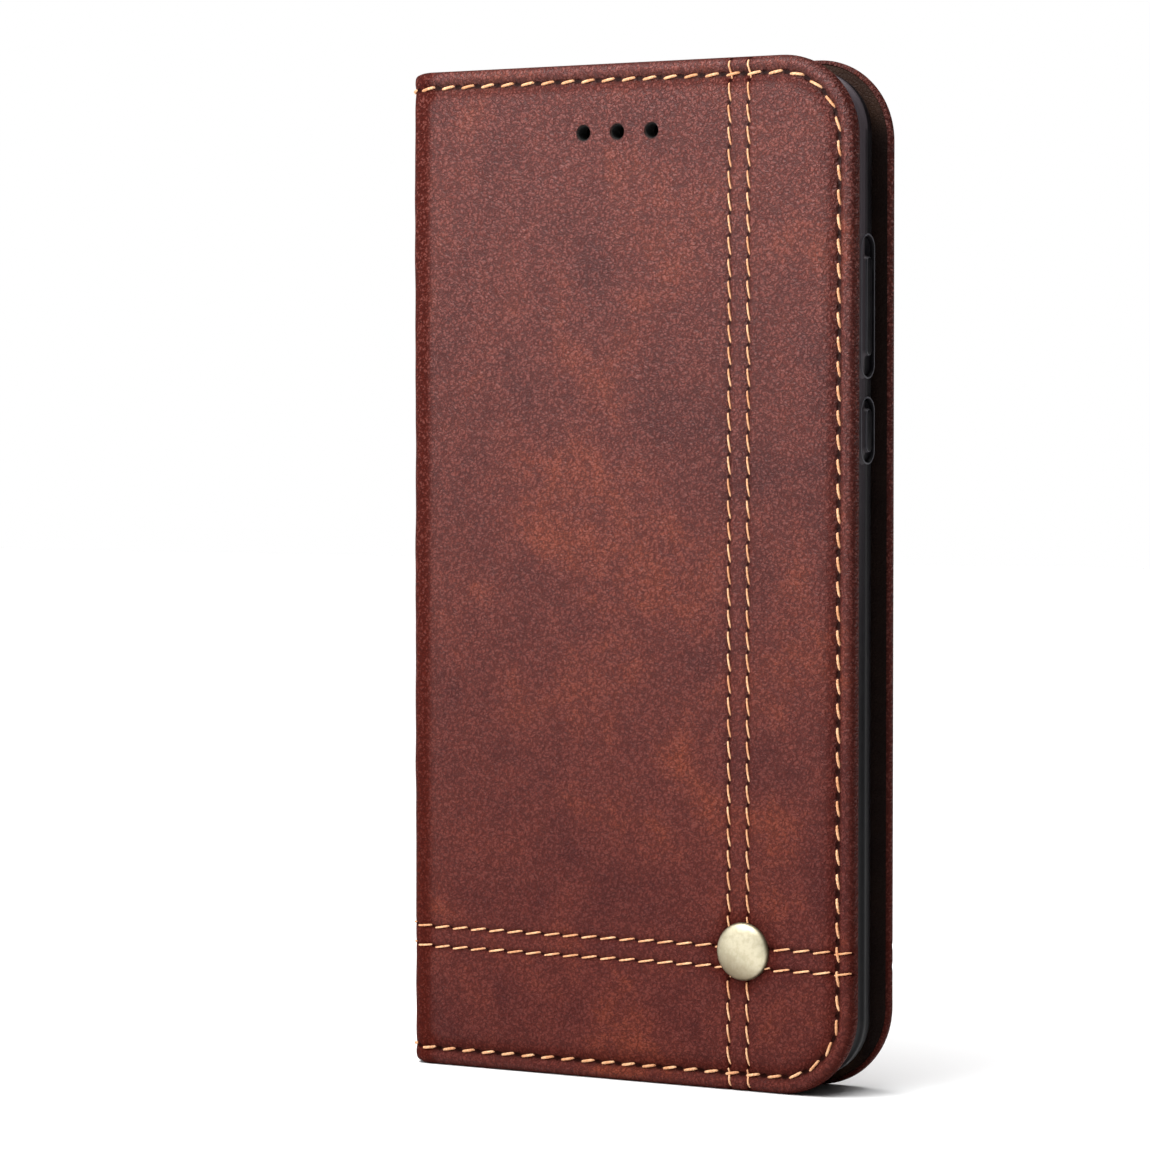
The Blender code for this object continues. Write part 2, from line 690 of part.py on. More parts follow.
def build():
    """Build every body of the case."""
    middle = HEIGHT / 2
    spine = body_empty("spine_fold", LEFT + PIVOT_INSET, BACK - PIVOT_INSET, middle)
    front = body_empty("cover_fold", LEFT + PIVOT_INSET, FRONT + PIVOT_INSET, middle, spine)
    key_x = TRAY_RIGHT - (KEY_PLATE[0] + KEY_PLATE[1]) / 2
    volume = body_empty("volume_key_rock", key_x, KEY_Y, sum(VOLUME_OPENING) / 2)
    power = body_empty("power_key_press", key_x, KEY_Y, sum(POWER_OPENING) / 2)
    tray = add_back_cover()
    add_keys(tray, volume, power)
    add_spine(spine)
    add_front_cover(front)


build()
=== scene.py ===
"""Looks of the phone wallet case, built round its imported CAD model.

Lengths are in millimetres and become metres where a mesh is made. Both covers are one sheet of
leather that starts at the middle of the spine, turns round a crease and ends at the free edge.
A place on that sheet is (u, v, depth): u along the leather from the middle of the spine, v the
height above the table and depth below the leather's outer face.
"""
from dataclasses import dataclass
from math import cos, pi, radians, sin

import bmesh
import bpy
import numpy as np
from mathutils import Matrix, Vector


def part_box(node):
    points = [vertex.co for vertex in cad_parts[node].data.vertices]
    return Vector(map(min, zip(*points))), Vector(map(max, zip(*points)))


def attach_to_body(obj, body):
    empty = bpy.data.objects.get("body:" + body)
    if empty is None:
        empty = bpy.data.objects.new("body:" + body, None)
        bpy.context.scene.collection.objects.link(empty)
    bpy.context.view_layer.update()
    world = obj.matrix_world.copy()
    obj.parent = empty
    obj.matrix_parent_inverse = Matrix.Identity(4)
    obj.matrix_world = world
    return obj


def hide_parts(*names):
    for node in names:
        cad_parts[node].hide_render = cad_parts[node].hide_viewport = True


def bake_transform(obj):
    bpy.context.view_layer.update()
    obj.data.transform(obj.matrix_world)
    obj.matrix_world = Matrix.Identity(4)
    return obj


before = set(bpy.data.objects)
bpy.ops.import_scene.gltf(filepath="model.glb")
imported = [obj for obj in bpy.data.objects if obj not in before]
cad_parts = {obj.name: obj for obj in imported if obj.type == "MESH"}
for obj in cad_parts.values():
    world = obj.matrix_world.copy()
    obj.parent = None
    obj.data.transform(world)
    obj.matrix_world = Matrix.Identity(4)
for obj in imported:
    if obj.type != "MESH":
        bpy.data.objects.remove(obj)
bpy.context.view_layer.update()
MM = 0.001


def box_mm(node):
    """Return a CAD node's lowest and highest corners in millimetres."""
    low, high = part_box(node)
    return low / MM, high / MM


# Sizes that come from the frame
SKIN_LOW, SKIN_HIGH = box_mm("front_cover_skin")
CREASE_LOW, CREASE_HIGH = box_mm("front_crease")
STUD_LOW, STUD_HIGH = box_mm("stud_cap")
TRAY_LOW, TRAY_HIGH = box_mm("phone_tray")
FRONT = SKIN_LOW.y
BACK = box_mm("back_cover_skin")[1].y
LEFT = CREASE_LOW.x
RIGHT = SKIN_HIGH.x
HEIGHT = SKIN_HIGH.z
MIDDLE_Y = (FRONT + BACK) / 2
CREASE_RADIUS = CREASE_HIGH.x - CREASE_LOW.x

# The leather sheet, along u
SPINE_HALF = MIDDLE_Y - FRONT - CREASE_RADIUS
CREASE_END = SPINE_HALF + CREASE_RADIUS * pi / 2
SHEET_END = CREASE_END + RIGHT - LEFT - CREASE_RADIUS
CORNER_RADIUS = 12.8
SPINE_LEATHER = 0.7
SPINE_PULL = 0.005
SPINE_RIM = 2.1
FOLD_RIM = 1.75

# Stitching
THREAD = 0.36
STITCH_STEPS = 13
STITCH_DIVE = 0.42
# a thread's radius, how much of each step it shows, and how far a stitch leans across its line
EDGE_THREAD = (0.225, 0.62, 0.22)
ROW_THREAD = (0.160, 0.86, 0.26)
# a needle hole's half length and half width
EDGE_HOLE = (0.95, 0.48)
ROW_HOLE = (0.42, 0.30)
EDGE_STITCH = RIGHT - box_mm("front_edge_thread")[1].x + THREAD / 2
THREAD_LOW, THREAD_HIGH = box_mm("front_column_thread_upper")
COLUMNS = (SHEET_END - (RIGHT - THREAD_LOW.x) + THREAD / 2,
           SHEET_END - (RIGHT - THREAD_HIGH.x) - THREAD / 2)
ROW_LOW, ROW_HIGH = box_mm("front_row_thread_inner")
ROW_RISE = 0.15
ROWS = (ROW_LOW.z + THREAD / 2 + ROW_RISE, ROW_HIGH.z - THREAD / 2 + ROW_RISE)
ROW_END = SHEET_END - 0.1
EDGE_PITCH = 3.65
ROW_PITCH = 3.35
COLUMN_PITCH = 3.35

# The stud and the ear holes, measured from the free edge and the top
STUD_SHIFT = (-0.25, 0.2)
STUD_X = (STUD_LOW.x + STUD_HIGH.x) / 2 + STUD_SHIFT[0]
STUD_U = SHEET_END - (RIGHT - STUD_X)
STUD_V = (STUD_LOW.z + STUD_HIGH.z) / 2 + STUD_SHIFT[1]
STUD_RADIUS = (STUD_HIGH.x - STUD_LOW.x) / 2
EAR_HOLES = tuple(SHEET_END - distance for distance in (34.9, 41.0, 47.1))
EAR_V = HEIGHT - 10.7
EAR_RADIUS = 1.15


# Meshes


def add_object(name, data):
    """Add an object to the scene."""
    thing = bpy.data.objects.new(name, data)
    bpy.context.scene.collection.objects.link(thing)
    return thing


def make_mesh(name, points, faces, uv=None, materials=(), face_material=None, sharp=40):
    """Make a smooth-shaded mesh object from points in millimetres."""
    data = bpy.data.meshes.new(name)
    data.from_pydata((np.asarray(points) * MM).tolist(), [], faces)
    for material in materials:
        data.materials.append(material)
    if face_material is not None:
        data.polygons.foreach_set("material_index", np.asarray(face_material, np.int32))
    if uv is not None:
        layer = data.uv_layers.new(name="UVMap")
        loops = np.zeros(len(data.loops), np.int32)
        data.loops.foreach_get("vertex_index", loops)
        layer.data.foreach_set("uv", (np.asarray(uv)[loops] / 100).astype(np.float32).ravel())
    data.shade_smooth()
    data.set_sharp_from_angle(angle=radians(sharp))
    data.validate()
    return add_object(name, data)


def tube_faces(rings, size, first=0, closed=False, flip=False):
    """Return the quads that join rings of points in turn, and the last to the first if closed."""
    index = first + np.arange(rings * size).reshape(rings, size)
    if closed:
        index = np.vstack((index, index[:1]))
    beside = np.roll(index, -1, axis=1)
    corners = (index[:-1], beside[:-1], beside[1:], index[1:])
    return np.stack([x.ravel() for x in corners[::-1 if flip else 1]], axis=1).tolist()


def attach(thing, body, slot, *nodes):
    """Let a piece ride on a body and hide the CAD nodes it stands for; slot is not used."""
    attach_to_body(thing, body)
    if nodes:
        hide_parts(*nodes)
    return thing


def near(values, centre, width):
    """Return a bell curve of values round a centre."""
    return np.exp(-((values - centre) / width) ** 2)


def smooth(values, low, high):
    """Return values taken smoothly from 0 at low to 1 at high."""
    t = np.clip((values - low) / (high - low), 0, 1)
    return t * t * (3 - 2 * t)


@dataclass
class Side:
    """One half of the leather: the front cover or the back cover with half of the spine."""

    name: str
    facing: int
    rim: float
    leather: float
    roll: float
    turn_in: float
    groove: float
    has_columns: bool

    def place(self, u, v, depth):
        """Return world points for places on the sheet."""
        u, v, depth = np.broadcast_arrays(*(np.asarray(a, float) for a in (u, v, depth)))
        turn = np.clip((u - SPINE_HALF) / CREASE_RADIUS, 0, pi / 2)
        pulled = SPINE_PULL * (1 - smooth(u, CREASE_END - 2.5, CREASE_END + 1.5))
        v = HEIGHT / 2 + (v - HEIGHT / 2) * (1 - pulled)
        radius = CREASE_RADIUS - depth
        x = LEFT + CREASE_RADIUS - radius * np.cos(turn) + np.maximum(u - CREASE_END, 0)
        y = FRONT + CREASE_RADIUS - radius * np.sin(turn) + np.maximum(SPINE_HALF - u, 0)
        if self.facing < 0:
            y = 2 * MIDDLE_Y - y
        return np.stack((x, y, v), axis=-1)

    def outward(self, u):
        """Return the unit vector out of the leather's outer face."""
        turn = np.clip((np.asarray(u, float) - SPINE_HALF) / CREASE_RADIUS, 0, pi / 2)
        return np.stack((-np.cos(turn), -np.sin(turn) * self.facing, np.zeros_like(turn)), axis=-1)

    def rim_thickness(self, u):
        """Return the thickness of the turned edge, thinner where the leather folds."""
        cover = smooth(u, CREASE_END - 0.6, CREASE_END + 2.4)
        spine = 1 - smooth(u, SPINE_HALF - 1.6, SPINE_HALF + 0.8)
        return FOLD_RIM + (self.rim - FOLD_RIM) * cover + (SPINE_RIM - FOLD_RIM) * spine

    def leather_thickness(self, u):
        """Return the thickness of the leather alone."""
        cover = smooth(u, CREASE_END, CREASE_END + 2.0)
        return SPINE_LEATHER + (self.leather - SPINE_LEATHER) * cover


FRONT_SIDE = Side("front", 1, rim=2.6, leather=0.8, roll=0.95, turn_in=1.05, groove=0.40,
                  has_columns=True)
BACK_SIDE = Side("back", -1, rim=1.6, leather=0.6, roll=0.55, turn_in=0.60, groove=0.30,
                 has_columns=False)


# Stitch lines: each has a distance across it and a distance along it


def edge_distance(u, v):
    """Return how far places on the sheet are from its outline."""
    du = SHEET_END - u
    dv = np.minimum(v, HEIGHT - v)
    corner = (du < CORNER_RADIUS) & (dv < CORNER_RADIUS)
    round_off = CORNER_RADIUS - np.hypot(CORNER_RADIUS - du, CORNER_RADIUS - dv)
    return np.where(corner, round_off, np.minimum(du, dv))


EDGE_ARC = CORNER_RADIUS - EDGE_STITCH
EDGE_HALF = SHEET_END - CORNER_RADIUS + EDGE_ARC * pi / 2 + HEIGHT / 2 - CORNER_RADIUS


def edge_along(u, v):
    """Return the distance along the edge stitch line, from the spine to the middle height."""
    du = SHEET_END - u
    dv = np.minimum(v, HEIGHT - v)
    angle = np.arctan2(np.maximum(CORNER_RADIUS - du, 0), np.maximum(CORNER_RADIUS - dv, 1e-9))
    across = np.minimum(u, SHEET_END - CORNER_RADIUS)
    up = np.where(du < CORNER_RADIUS, np.maximum(dv - CORNER_RADIUS, 0), 0)
    return across + EDGE_ARC * angle + up


def fitted(pitch, length):
    """Return the pitch nearest to one given that divides a length."""
    return length / round(length / pitch)


COLUMN_START = 0.35
EDGE_STEP = fitted(EDGE_PITCH, EDGE_HALF)
ROW_STEP = fitted(ROW_PITCH, ROW_END)
COLUMN_STEP = fitted(COLUMN_PITCH, HEIGHT - 2 * COLUMN_START)


def holes(along, step, width=0.36):
    """Return a bell curve round each needle hole along a line."""
    off = np.abs((along / step + 0.5) % 1 - 0.5) * step
    return np.exp(-(off / width) ** 2)


def line_relief(across, along, step, depth, width=0.55, hole=0.14):
    """Return how far a stitch line and its needle holes sink the leather."""
    inside = np.abs(across) < 4 * width
    groove = depth * np.exp(-(across / width) ** 2)
    pit = hole * np.exp(-(across / 0.35) ** 2) * holes(along, step)
    return np.where(inside, groove + pit, 0)


def ripple(u, v):
    """Return the leather's slow unevenness."""
    waves = ((0.030, 21.0, 0.3, 0.7), (0.018, 11.0, 1.9, 2.1), (0.012, 7.3, 4.1, 0.2),
             (0.008, 4.6, 2.6, 5.0))
    total = 0.0
    for size, length, angle, phase in waves:
        total = total + size * np.sin((u * cos(angle) + v * sin(angle)) * 2 * pi / length + phase)
        total = total + size * 0.7 * np.sin((u * sin(angle) - v * cos(angle)) * 2 * pi / length / 1.3)
    return total


def relief(side, u, v, edge, pit=0.14):
    """Return the outer face's height above the flat sheet, how sunk it is and how red it is; the red
    is partly the leather's darker colour and partly painted shade.
    """
    pressed = 0.2 + 0.8 * smooth(u, CREASE_END - 1.0, CREASE_END + 1.5)
    groove = side.groove * pressed
    sunk = line_relief(edge - EDGE_STITCH, edge_along(u, v), EDGE_STEP, groove, 0.62, pit)
    # darker red inside the edge stitch: a red halo by the stitching, deepened as painted shade where
    # the padded field dips to it; the outline is darker red too
    red = 0.9 * near(edge, EDGE_STITCH + 1.0, 1.2) + 1.1 * near(edge, 0.1, 0.8)
    for row in ROWS:
        sunk = np.maximum(sunk, line_relief(v - row, u, ROW_STEP, groove * 0.6, 0.5, pit))
        red = red + 0.35 * near(v, row, 1.1)
    if side.has_columns:
        for column in COLUMNS:
            line = line_relief(u - column, v - COLUMN_START, COLUMN_STEP, groove * 0.6, 0.5, pit)
            sunk = np.maximum(sunk, line)
            red = red + 0.35 * near(u, column, 1.1)
        for hole in EAR_HOLES:
            reach = np.hypot(u - hole, v - EAR_V)
            sunk = sunk + 0.06 * near(reach, EAR_RADIUS, 0.3)
        press = np.hypot(u - STUD_U, v - STUD_V)
        sunk = sunk + 0.22 * (1 - smooth(press, STUD_RADIUS - 0.8, STUD_RADIUS + 1.6))
        # darker red ring round the stud: painted shadow of the stud
        red = red + 0.8 * near(press, STUD_RADIUS + 0.6, 2.0)
    # darker red over the crease: partly darker leather, partly painted shade where the leather turns
    # away
    red = red + 1.6 * (1 - smooth(u, CREASE_END, CREASE_END + 3.2)) * smooth(u, 0, SPINE_HALF)
    puff = 0.42 * smooth(edge, EDGE_STITCH - 0.2, EDGE_STITCH + 3.2)
    puff = puff * (0.25 + 0.75 * smooth(u, CREASE_END - 1, CREASE_END + 5))
    roll = 0.34 * pressed * near(edge, 1.35, 0.62)
    calm = smooth(u, 1.0, 4.0) * smooth(edge, 0.3, 2.5)
    return puff + roll - sunk + ripple(u, v) * calm, sunk, np.minimum(red, 1.6)


# Leather sheet


BAND = 5.0


def spaced(low, high, step, dense=()):
    """Return lines from low to high, closer together round each dense (centre, reach, step)."""
    lines = [low]
    while lines[-1] < high:
        here = lines[-1]
        gap = min([step] + [d for c, reach, d in dense if abs(here - c) < reach])
        lines.append(here + gap)
    lines = np.array(lines)
    return low + (lines - low) * (high - low) / (lines[-1] - low)


def sheet_grid(side):
    """Return (u, v) of the field inside the band, and the band's inner outline and normals."""
    step = EDGE_STEP / 8
    dense_u = [(c, 1.0, step * 0.5) for c in COLUMNS] if side.has_columns else []
    dense_u += [(SPINE_HALF + 2, 2.5, step * 0.6)]
    dense_v = [(r, 1.0, step * 0.5) for r in ROWS]
    inner_radius = CORNER_RADIUS - BAND
    us = spaced(0, SHEET_END - BAND, step, dense_u)
    straight = spaced(CORNER_RADIUS, HEIGHT - CORNER_RADIUS, step, dense_v)
    arc = np.linspace(0, pi / 2, round(inner_radius * pi / 2 / step) + 1)[1:]
    low = CORNER_RADIUS - inner_radius * np.sin(arc)
    high = HEIGHT - CORNER_RADIUS + inner_radius * np.sin(arc)
    vs = np.concatenate((low[::-1], straight, high))
    angle = np.concatenate((-arc[::-1], np.zeros(len(straight)), arc))
    ends = SHEET_END - CORNER_RADIUS + inner_radius * np.cos(angle)
    hinge = SHEET_END - CORNER_RADIUS - 4
    stretch = (ends[:, None] - hinge) / (SHEET_END - BAND - hinge)
    u = np.where(us[None, :] > hinge, hinge + (us[None, :] - hinge) * stretch, us[None, :])
    v = np.broadcast_to(vs[:, None], u.shape)
    return u, v, angle


def quads(rows, columns, first=0, flip=False):
    """Return the faces of a grid of points, row by row."""
    index = first + np.arange(rows * columns).reshape(rows, columns)
    a, b, c, d = index[:-1, :-1], index[:-1, 1:], index[1:, 1:], index[1:, :-1]
    corners = (a, d, c, b) if flip else (a, b, c, d)
    return np.stack([x.ravel() for x in corners], axis=1).tolist()


class Rings:
    """The leather's points, gathered loop by loop, with the values stored on them."""

    def __init__(self, side):
        self.side = side
        self.points, self.uvs, self.faces = [], [], []
        self.stored = {"sunk": [], "red": [], "across": [], "along": []}
        self.total = 0

    def add(self, u, v, depth, flat_u, flat_v, sunk, red, across, along):
        """Add points, and return their numbers; flat is where they lie on the flat sheet."""
        self.points.append(self.side.place(u, v, depth).reshape(-1, 3))
        self.uvs.append(np.stack((flat_u, flat_v), -1).reshape(-1, 2))
        for name, values in zip(self.stored, (sunk, red, across, along)):
            self.stored[name].append(np.broadcast_to(values, u.shape).ravel())
        self.total += u.size
        return np.arange(self.total - u.size, self.total)

    def join(self, inner, outer):
        """Add the quads between two loops."""
        corners = (inner[:-1], inner[1:], outer[1:], outer[:-1])
        self.faces += np.stack(corners[::self.side.facing], axis=1).tolist()

    def close(self, faces):
        """Add faces, turned over on the back cover."""
        self.faces += [face[::self.side.facing] for face in faces]

    def mesh(self, name, materials):
        """Return the finished mesh object."""
        uvs = np.concatenate(self.uvs) * (self.side.facing, 1)
        thing = make_mesh(name, np.concatenate(self.points), self.faces, uvs, materials)
        for key, values in self.stored.items():
            store = thing.data.attributes.new(key, "FLOAT", "POINT")
            store.data.foreach_set("value", np.concatenate(values).astype(np.float32))
        return thing


def band_rings(side):
    """Return the band's rings: (distance from the outline, share of the rim's depth, run)."""
    rings = [(d, 0.0, BAND - d) for d in (4.6, 4.2, 3.85, 3.55, 3.3, 3.1, 2.93, 2.76, 2.6, 2.44,
                                          2.26, 2.05, 1.8, 1.5, 1.2, side.roll)]
    turns = 10
    for i in range(1, turns + 1):
        turn = pi * i / turns
        reach = sin(turn) ** 0.75
        rise = abs(cos(turn)) ** 0.75 * (1 if turn < pi / 2 else -1)
        rings.append((side.roll * (1 - reach), (1 - rise) / 2, BAND + side.roll * (turn - 1)))
    rings.append((side.turn_in, 1.0, BAND + side.roll * (pi - 1)))
    return rings


def leather_sheet(side, materials):
    """Build one half of the leather: field, stitched band, rolled rim, turned edge and back."""
    u, v, angle = sheet_grid(side)
    rows, columns = u.shape
    edge = edge_distance(u, v)
    height, sunk, red = relief(side, u, v, edge)
    sheet = Rings(side)
    index = sheet.add(u, v, -height, u, v, sunk, red, edge, edge_along(u, v)).reshape(rows, columns)
    sheet.faces += quads(rows, columns, flip=side.facing < 0)

    loop = np.concatenate((index[-1, :], index[-2:0:-1, -1], index[0, ::-1]))
    start_u, start_v = u.ravel()[loop], v.ravel()[loop]
    normal_u = np.concatenate((np.zeros(columns), np.cos(angle[-2:0:-1]), np.zeros(columns)))
    normal_v = np.concatenate((np.ones(columns), np.sin(angle[-2:0:-1]), -np.ones(columns)))
    count = len(loop)

    def outward(run):
        return start_u + normal_u * run, start_v + normal_v * run

    thickness = side.rim_thickness(start_u)
    loops = [loop]
    for d, share, run in band_rings(side):
        u, v = outward(BAND - d)
        height, sunk, red = relief(side, u, v, np.full(count, d))
        height = height * (1 - smooth(share, 0.0, 0.45))
        sunk = sunk * (share < 0.1) + 0.16 * near(share, 0.16, 0.09)
        red = np.maximum(red, 0.9 * (share > 0.05))
        across = d if share < 0.2 else 0.0
        loops.append(sheet.add(u, v, thickness * share - height, *outward(run), sunk, red, across,
                               edge_along(u, v)))
    u, v = outward(BAND - side.turn_in)
    for depth in (thickness - 0.45, side.leather_thickness(start_u)):
        loops.append(sheet.add(u, v, depth, u, v, 0.0, 0.0, 0.0, 0.0))
    for inner, outer in zip(loops, loops[1:]):
        sheet.join(inner, outer)

    # the hidden back of the sheet: tall strips round the spine and crease, then one flat face
    last = loops[-1]
    bend = int(np.searchsorted(start_u[:columns], CREASE_END + 0.5))
    hidden = [[int(last[k]) for k in (i, i + 1, count - 2 - i, count - 1 - i)] for i in range(bend)]
    sheet.close(hidden + [last[bend:count - bend].tolist()])
    # the cut at the middle of the spine
    seam = index[:, 0].tolist() + [int(x[0]) for x in loops[1:]] + [int(x[-1]) for x in loops[:0:-1]]
    sheet.close([seam])
    return sheet.mesh(side.name + "_leather", materials)


# Linings and pockets: flat panels given by their outline in (u, v)


def panel_columns(u0, u1, v0, v1, radius_low, radius_high, step=0.6):
    """Return (u, low v, high v) down a panel whose two far corners are rounded."""
    radius = max(radius_low, radius_high, 0.01)
    fine = spaced(u0, min(CREASE_END + 3, u1 - radius), step) if u0 < CREASE_END else np.array([u0])
    flat = np.linspace(fine[-1], u1 - radius, 12)[1:]
    arc = u1 - radius + radius * np.sin(np.linspace(0, pi / 2, 11)[1:])
    u = np.concatenate((fine, flat, arc))

    def drop(r):
        over = np.clip(u - (u1 - r), 0, r) if r > 0 else np.zeros_like(u)
        return r - np.sqrt(np.maximum(r * r - over * over, 0))
    return u, v0 + drop(radius_low), v1 - drop(radius_high)


def panel(side, name, bounds, radii, profile, base, materials):
    """Build a closed panel: rings of (inset, height above the base depth), then two faces.

    bounds are (u0, u1, v0, v1), and base(u) is the depth of its hidden face.
    """
    u0, u1, v0, v1 = bounds
    points, uvs = [], []
    for inset, rise in profile:
        start = u0 + inset if u0 > 0 else u0
        low_radius, high_radius = (max(r - inset, 0.05) if r else 0 for r in radii)
        u, low, high = panel_columns(start, u1 - inset, v0 + inset, v1 - inset, low_radius,
                                     high_radius)
        loop_u, loop_v = np.concatenate((u, u[::-1])), np.concatenate((high, low[::-1]))
        points.append(side.place(loop_u, loop_v, base(loop_u) + rise))
        uvs.append(np.stack((loop_u, loop_v), -1))
    size = len(loop_u)
    faces = tube_faces(len(profile), size)
    for first, order in ((0, -1), ((len(profile) - 1) * size, 1)):
        last = first + size - 1
        faces += [[first + i, first + i + 1, last - i - 1, last - i][::order]
                  for i in range(size // 2 - 1)]
    if side.facing < 0:
        faces = [face[::-1] for face in faces]
    return make_mesh(name, np.concatenate(points), faces, np.concatenate(uvs) * (side.facing, 1),
                     materials)


# Threads


def stitch_mesh(name, paths, normals, radii, material, twist=2.0):
    """Build stitches as twisted two-ply strands along paths of shape (stitches, points, 3)."""
    count, steps, _ = paths.shape
    around = 12
    ahead = np.gradient(paths, axis=1)
    ahead /= np.linalg.norm(ahead, axis=2, keepdims=True)
    sideways = np.cross(ahead, normals)
    sideways /= np.linalg.norm(sideways, axis=2, keepdims=True)
    up = np.cross(sideways, ahead)
    t = np.linspace(0, 1, steps)
    angle = np.linspace(0, 2 * pi, around, endpoint=False)
    spin = angle[None, :] - twist * 2 * pi * t[:, None]
    radius = 0.86 + 0.20 * np.abs(np.cos(spin))
    radius *= (0.8 + 0.2 * np.sin(pi * t) ** 0.5)[:, None]
    radius = radius[None, :, :, None] * radii[:, None, None, None]
    ring = (paths[:, :, None, :] + sideways[:, :, None, :] * radius * np.cos(angle)[:, None]
            + up[:, :, None, :] * radius * np.sin(angle)[:, None])
    faces = []
    for first in range(0, count * steps * around, steps * around):
        faces += tube_faces(steps, around, first, flip=True)
        last = first + (steps - 1) * around
        faces += [list(range(first, first + around)), list(range(last, last + around))[::-1]]
    along = np.broadcast_to(t[None, :, None] * 2.6 + np.arange(count)[:, None, None] * 3.7,
                            (count, steps, around))
    turn = spin[None] * radii[:, None, None]
    uv = np.stack((along.ravel(), turn.ravel()), -1)
    return make_mesh(name, ring.reshape(-1, 3), faces, uv, [material], sharp=80)


def roll_depth(side, edge):
    """Return how far the rolled rim has dropped at a distance from the outline."""
    share = np.clip(1 - edge / side.roll, 0, 0.95)
    return side.rim / 2 * (1 - (1 - share ** (8 / 3)) ** (3 / 8))


def stitches(side, where, count, step, thread, lean):
    """Return paths, normals and radii of a line's stitches.

    where(along, across) gives (u, v), and lean is which way the stitches slant.
    """
    radius, dash, slant = thread
    t = np.linspace(0, 1, STITCH_STEPS)
    along = (np.arange(count)[:, None] + (1 - dash) / 2 + dash * t[None, :]) * step
    slant = slant * lean * (2 * t - 1)
    u, v = where(along, np.broadcast_to(slant[None, :], along.shape))
    edge = edge_distance(u, v)
    face = relief(side, u, v, edge, 0.0)[0] - roll_depth(side, edge)
    rise = radius * 0.9 - STITCH_DIVE * (1 - np.sin(pi * t) ** 0.45)
    return side.place(u, v, -(face + rise[None, :])), side.outward(u), np.full(count, radius)


def edge_line(high):
    """Return where() for the edge stitch line, along the top or the bottom and half the side."""
    def where(along, across):
        first = SHEET_END - CORNER_RADIUS
        second = first + EDGE_ARC * pi / 2
        turn = np.clip((along - first) / EDGE_ARC, 0, pi / 2)
        reach = EDGE_ARC + across
        u = np.minimum(along, first) + reach * np.sin(turn)
        from_edge = CORNER_RADIUS - reach * np.cos(turn) + np.maximum(along - second, 0)
        return u, HEIGHT - from_edge if high else from_edge
    return where


def row_line(v):
    """Return where() for a row at a height."""
    return lambda along, across: (along, v + across)


def column_line(u):
    """Return where() for a column at a place along the leather."""
    return lambda along, across: (u - across, COLUMN_START + along)


def visible_stitches(paths, normals, radii):
    """Leave out the stitches that lie wholly under the stud."""
    centre = FRONT_SIDE.place(STUD_U, STUD_V, 0)
    middle = paths.mean(axis=1)
    keep = np.hypot(middle[:, 0] - centre[0], middle[:, 2] - centre[2]) > STUD_RADIUS - 1.2
    return paths[keep], normals[keep], radii[keep]


def gather(runs):
    """Join several runs of stitches."""
    return [np.concatenate(part) for part in zip(*runs)]


def side_stitches(side, material):
    """Build the edge stitches and the rows of one side."""
    count = round(EDGE_HALF / EDGE_STEP)
    runs = [stitches(side, edge_line(True), count, EDGE_STEP, EDGE_THREAD, side.facing),
            stitches(side, edge_line(False), count, EDGE_STEP, EDGE_THREAD, -side.facing)]
    count = round(ROW_END / ROW_STEP)
    for row in ROWS:
        run = stitches(side, row_line(row), count, ROW_STEP, ROW_THREAD, side.facing)
        runs.append(visible_stitches(*run) if side.has_columns else run)
    return stitch_mesh(side.name + "_stitches", *gather(runs), material)


def column_stitches(material):
    """Build the two columns of stitches on the front cover."""
    count = round((HEIGHT - 2 * COLUMN_START) / COLUMN_STEP)
    runs = [stitches(FRONT_SIDE, column_line(u), count, COLUMN_STEP, ROW_THREAD, 1) for u in COLUMNS]
    runs = [visible_stitches(*run) for run in runs]
    return stitch_mesh("front_column_stitches", *gather(runs), material)


# Lofts: rings of points joined in turn, closed by a face at each end


def loft(name, rings, materials, sharp=40):
    """Build a closed piece from rings with the same number of points."""
    size = len(rings[0])
    last = (len(rings) - 1) * size
    faces = tube_faces(len(rings), size)
    faces += [list(range(size))[::-1], list(range(last, last + size))]
    thing = make_mesh(name, np.concatenate(rings), faces, None, materials, sharp=sharp)
    mesh = bmesh.new()
    mesh.from_mesh(thing.data)
    bmesh.ops.recalc_face_normals(mesh, faces=mesh.faces)
    mesh.to_mesh(thing.data)
    mesh.free()
    return thing


def outline(low, high, radius, steps=10):
    """Return the points of a rectangle with rounded corners, as (first, second) coordinates."""
    points = []
    corners = ((high[0] - radius, high[1] - radius, 0), (low[0] + radius, high[1] - radius, 1),
               (low[0] + radius, low[1] + radius, 2), (high[0] - radius, low[1] + radius, 3))
    for a, b, quarter in corners:
        turn = (quarter + np.linspace(0, 1, steps + 1)) * pi / 2
        points.append(np.stack((a + radius * np.cos(turn), b + radius * np.sin(turn)), -1))
    return np.concatenate(points)


def pill(centre, size, grow, steps=10):
    """Return a rounded-end outline, wider all round by grow."""
    half = np.array(size) / 2 + grow
    middle = np.array(centre)
    return outline(middle - half, middle + half, min(half) * 0.999, steps)


def along_x(points, x):
    """Place (y, z) points at an x."""
    return np.stack((np.full(len(points), x), points[:, 0], points[:, 1]), -1)


def along_y(points, y):
    """Place (x, z) points at a y."""
    return np.stack((points[:, 0], np.full(len(points), y), points[:, 1]), -1)


def along_z(points, z):
    """Place (x, y) points at a z."""
    return np.stack((points[:, 0], points[:, 1], np.full(len(points), z)), -1)


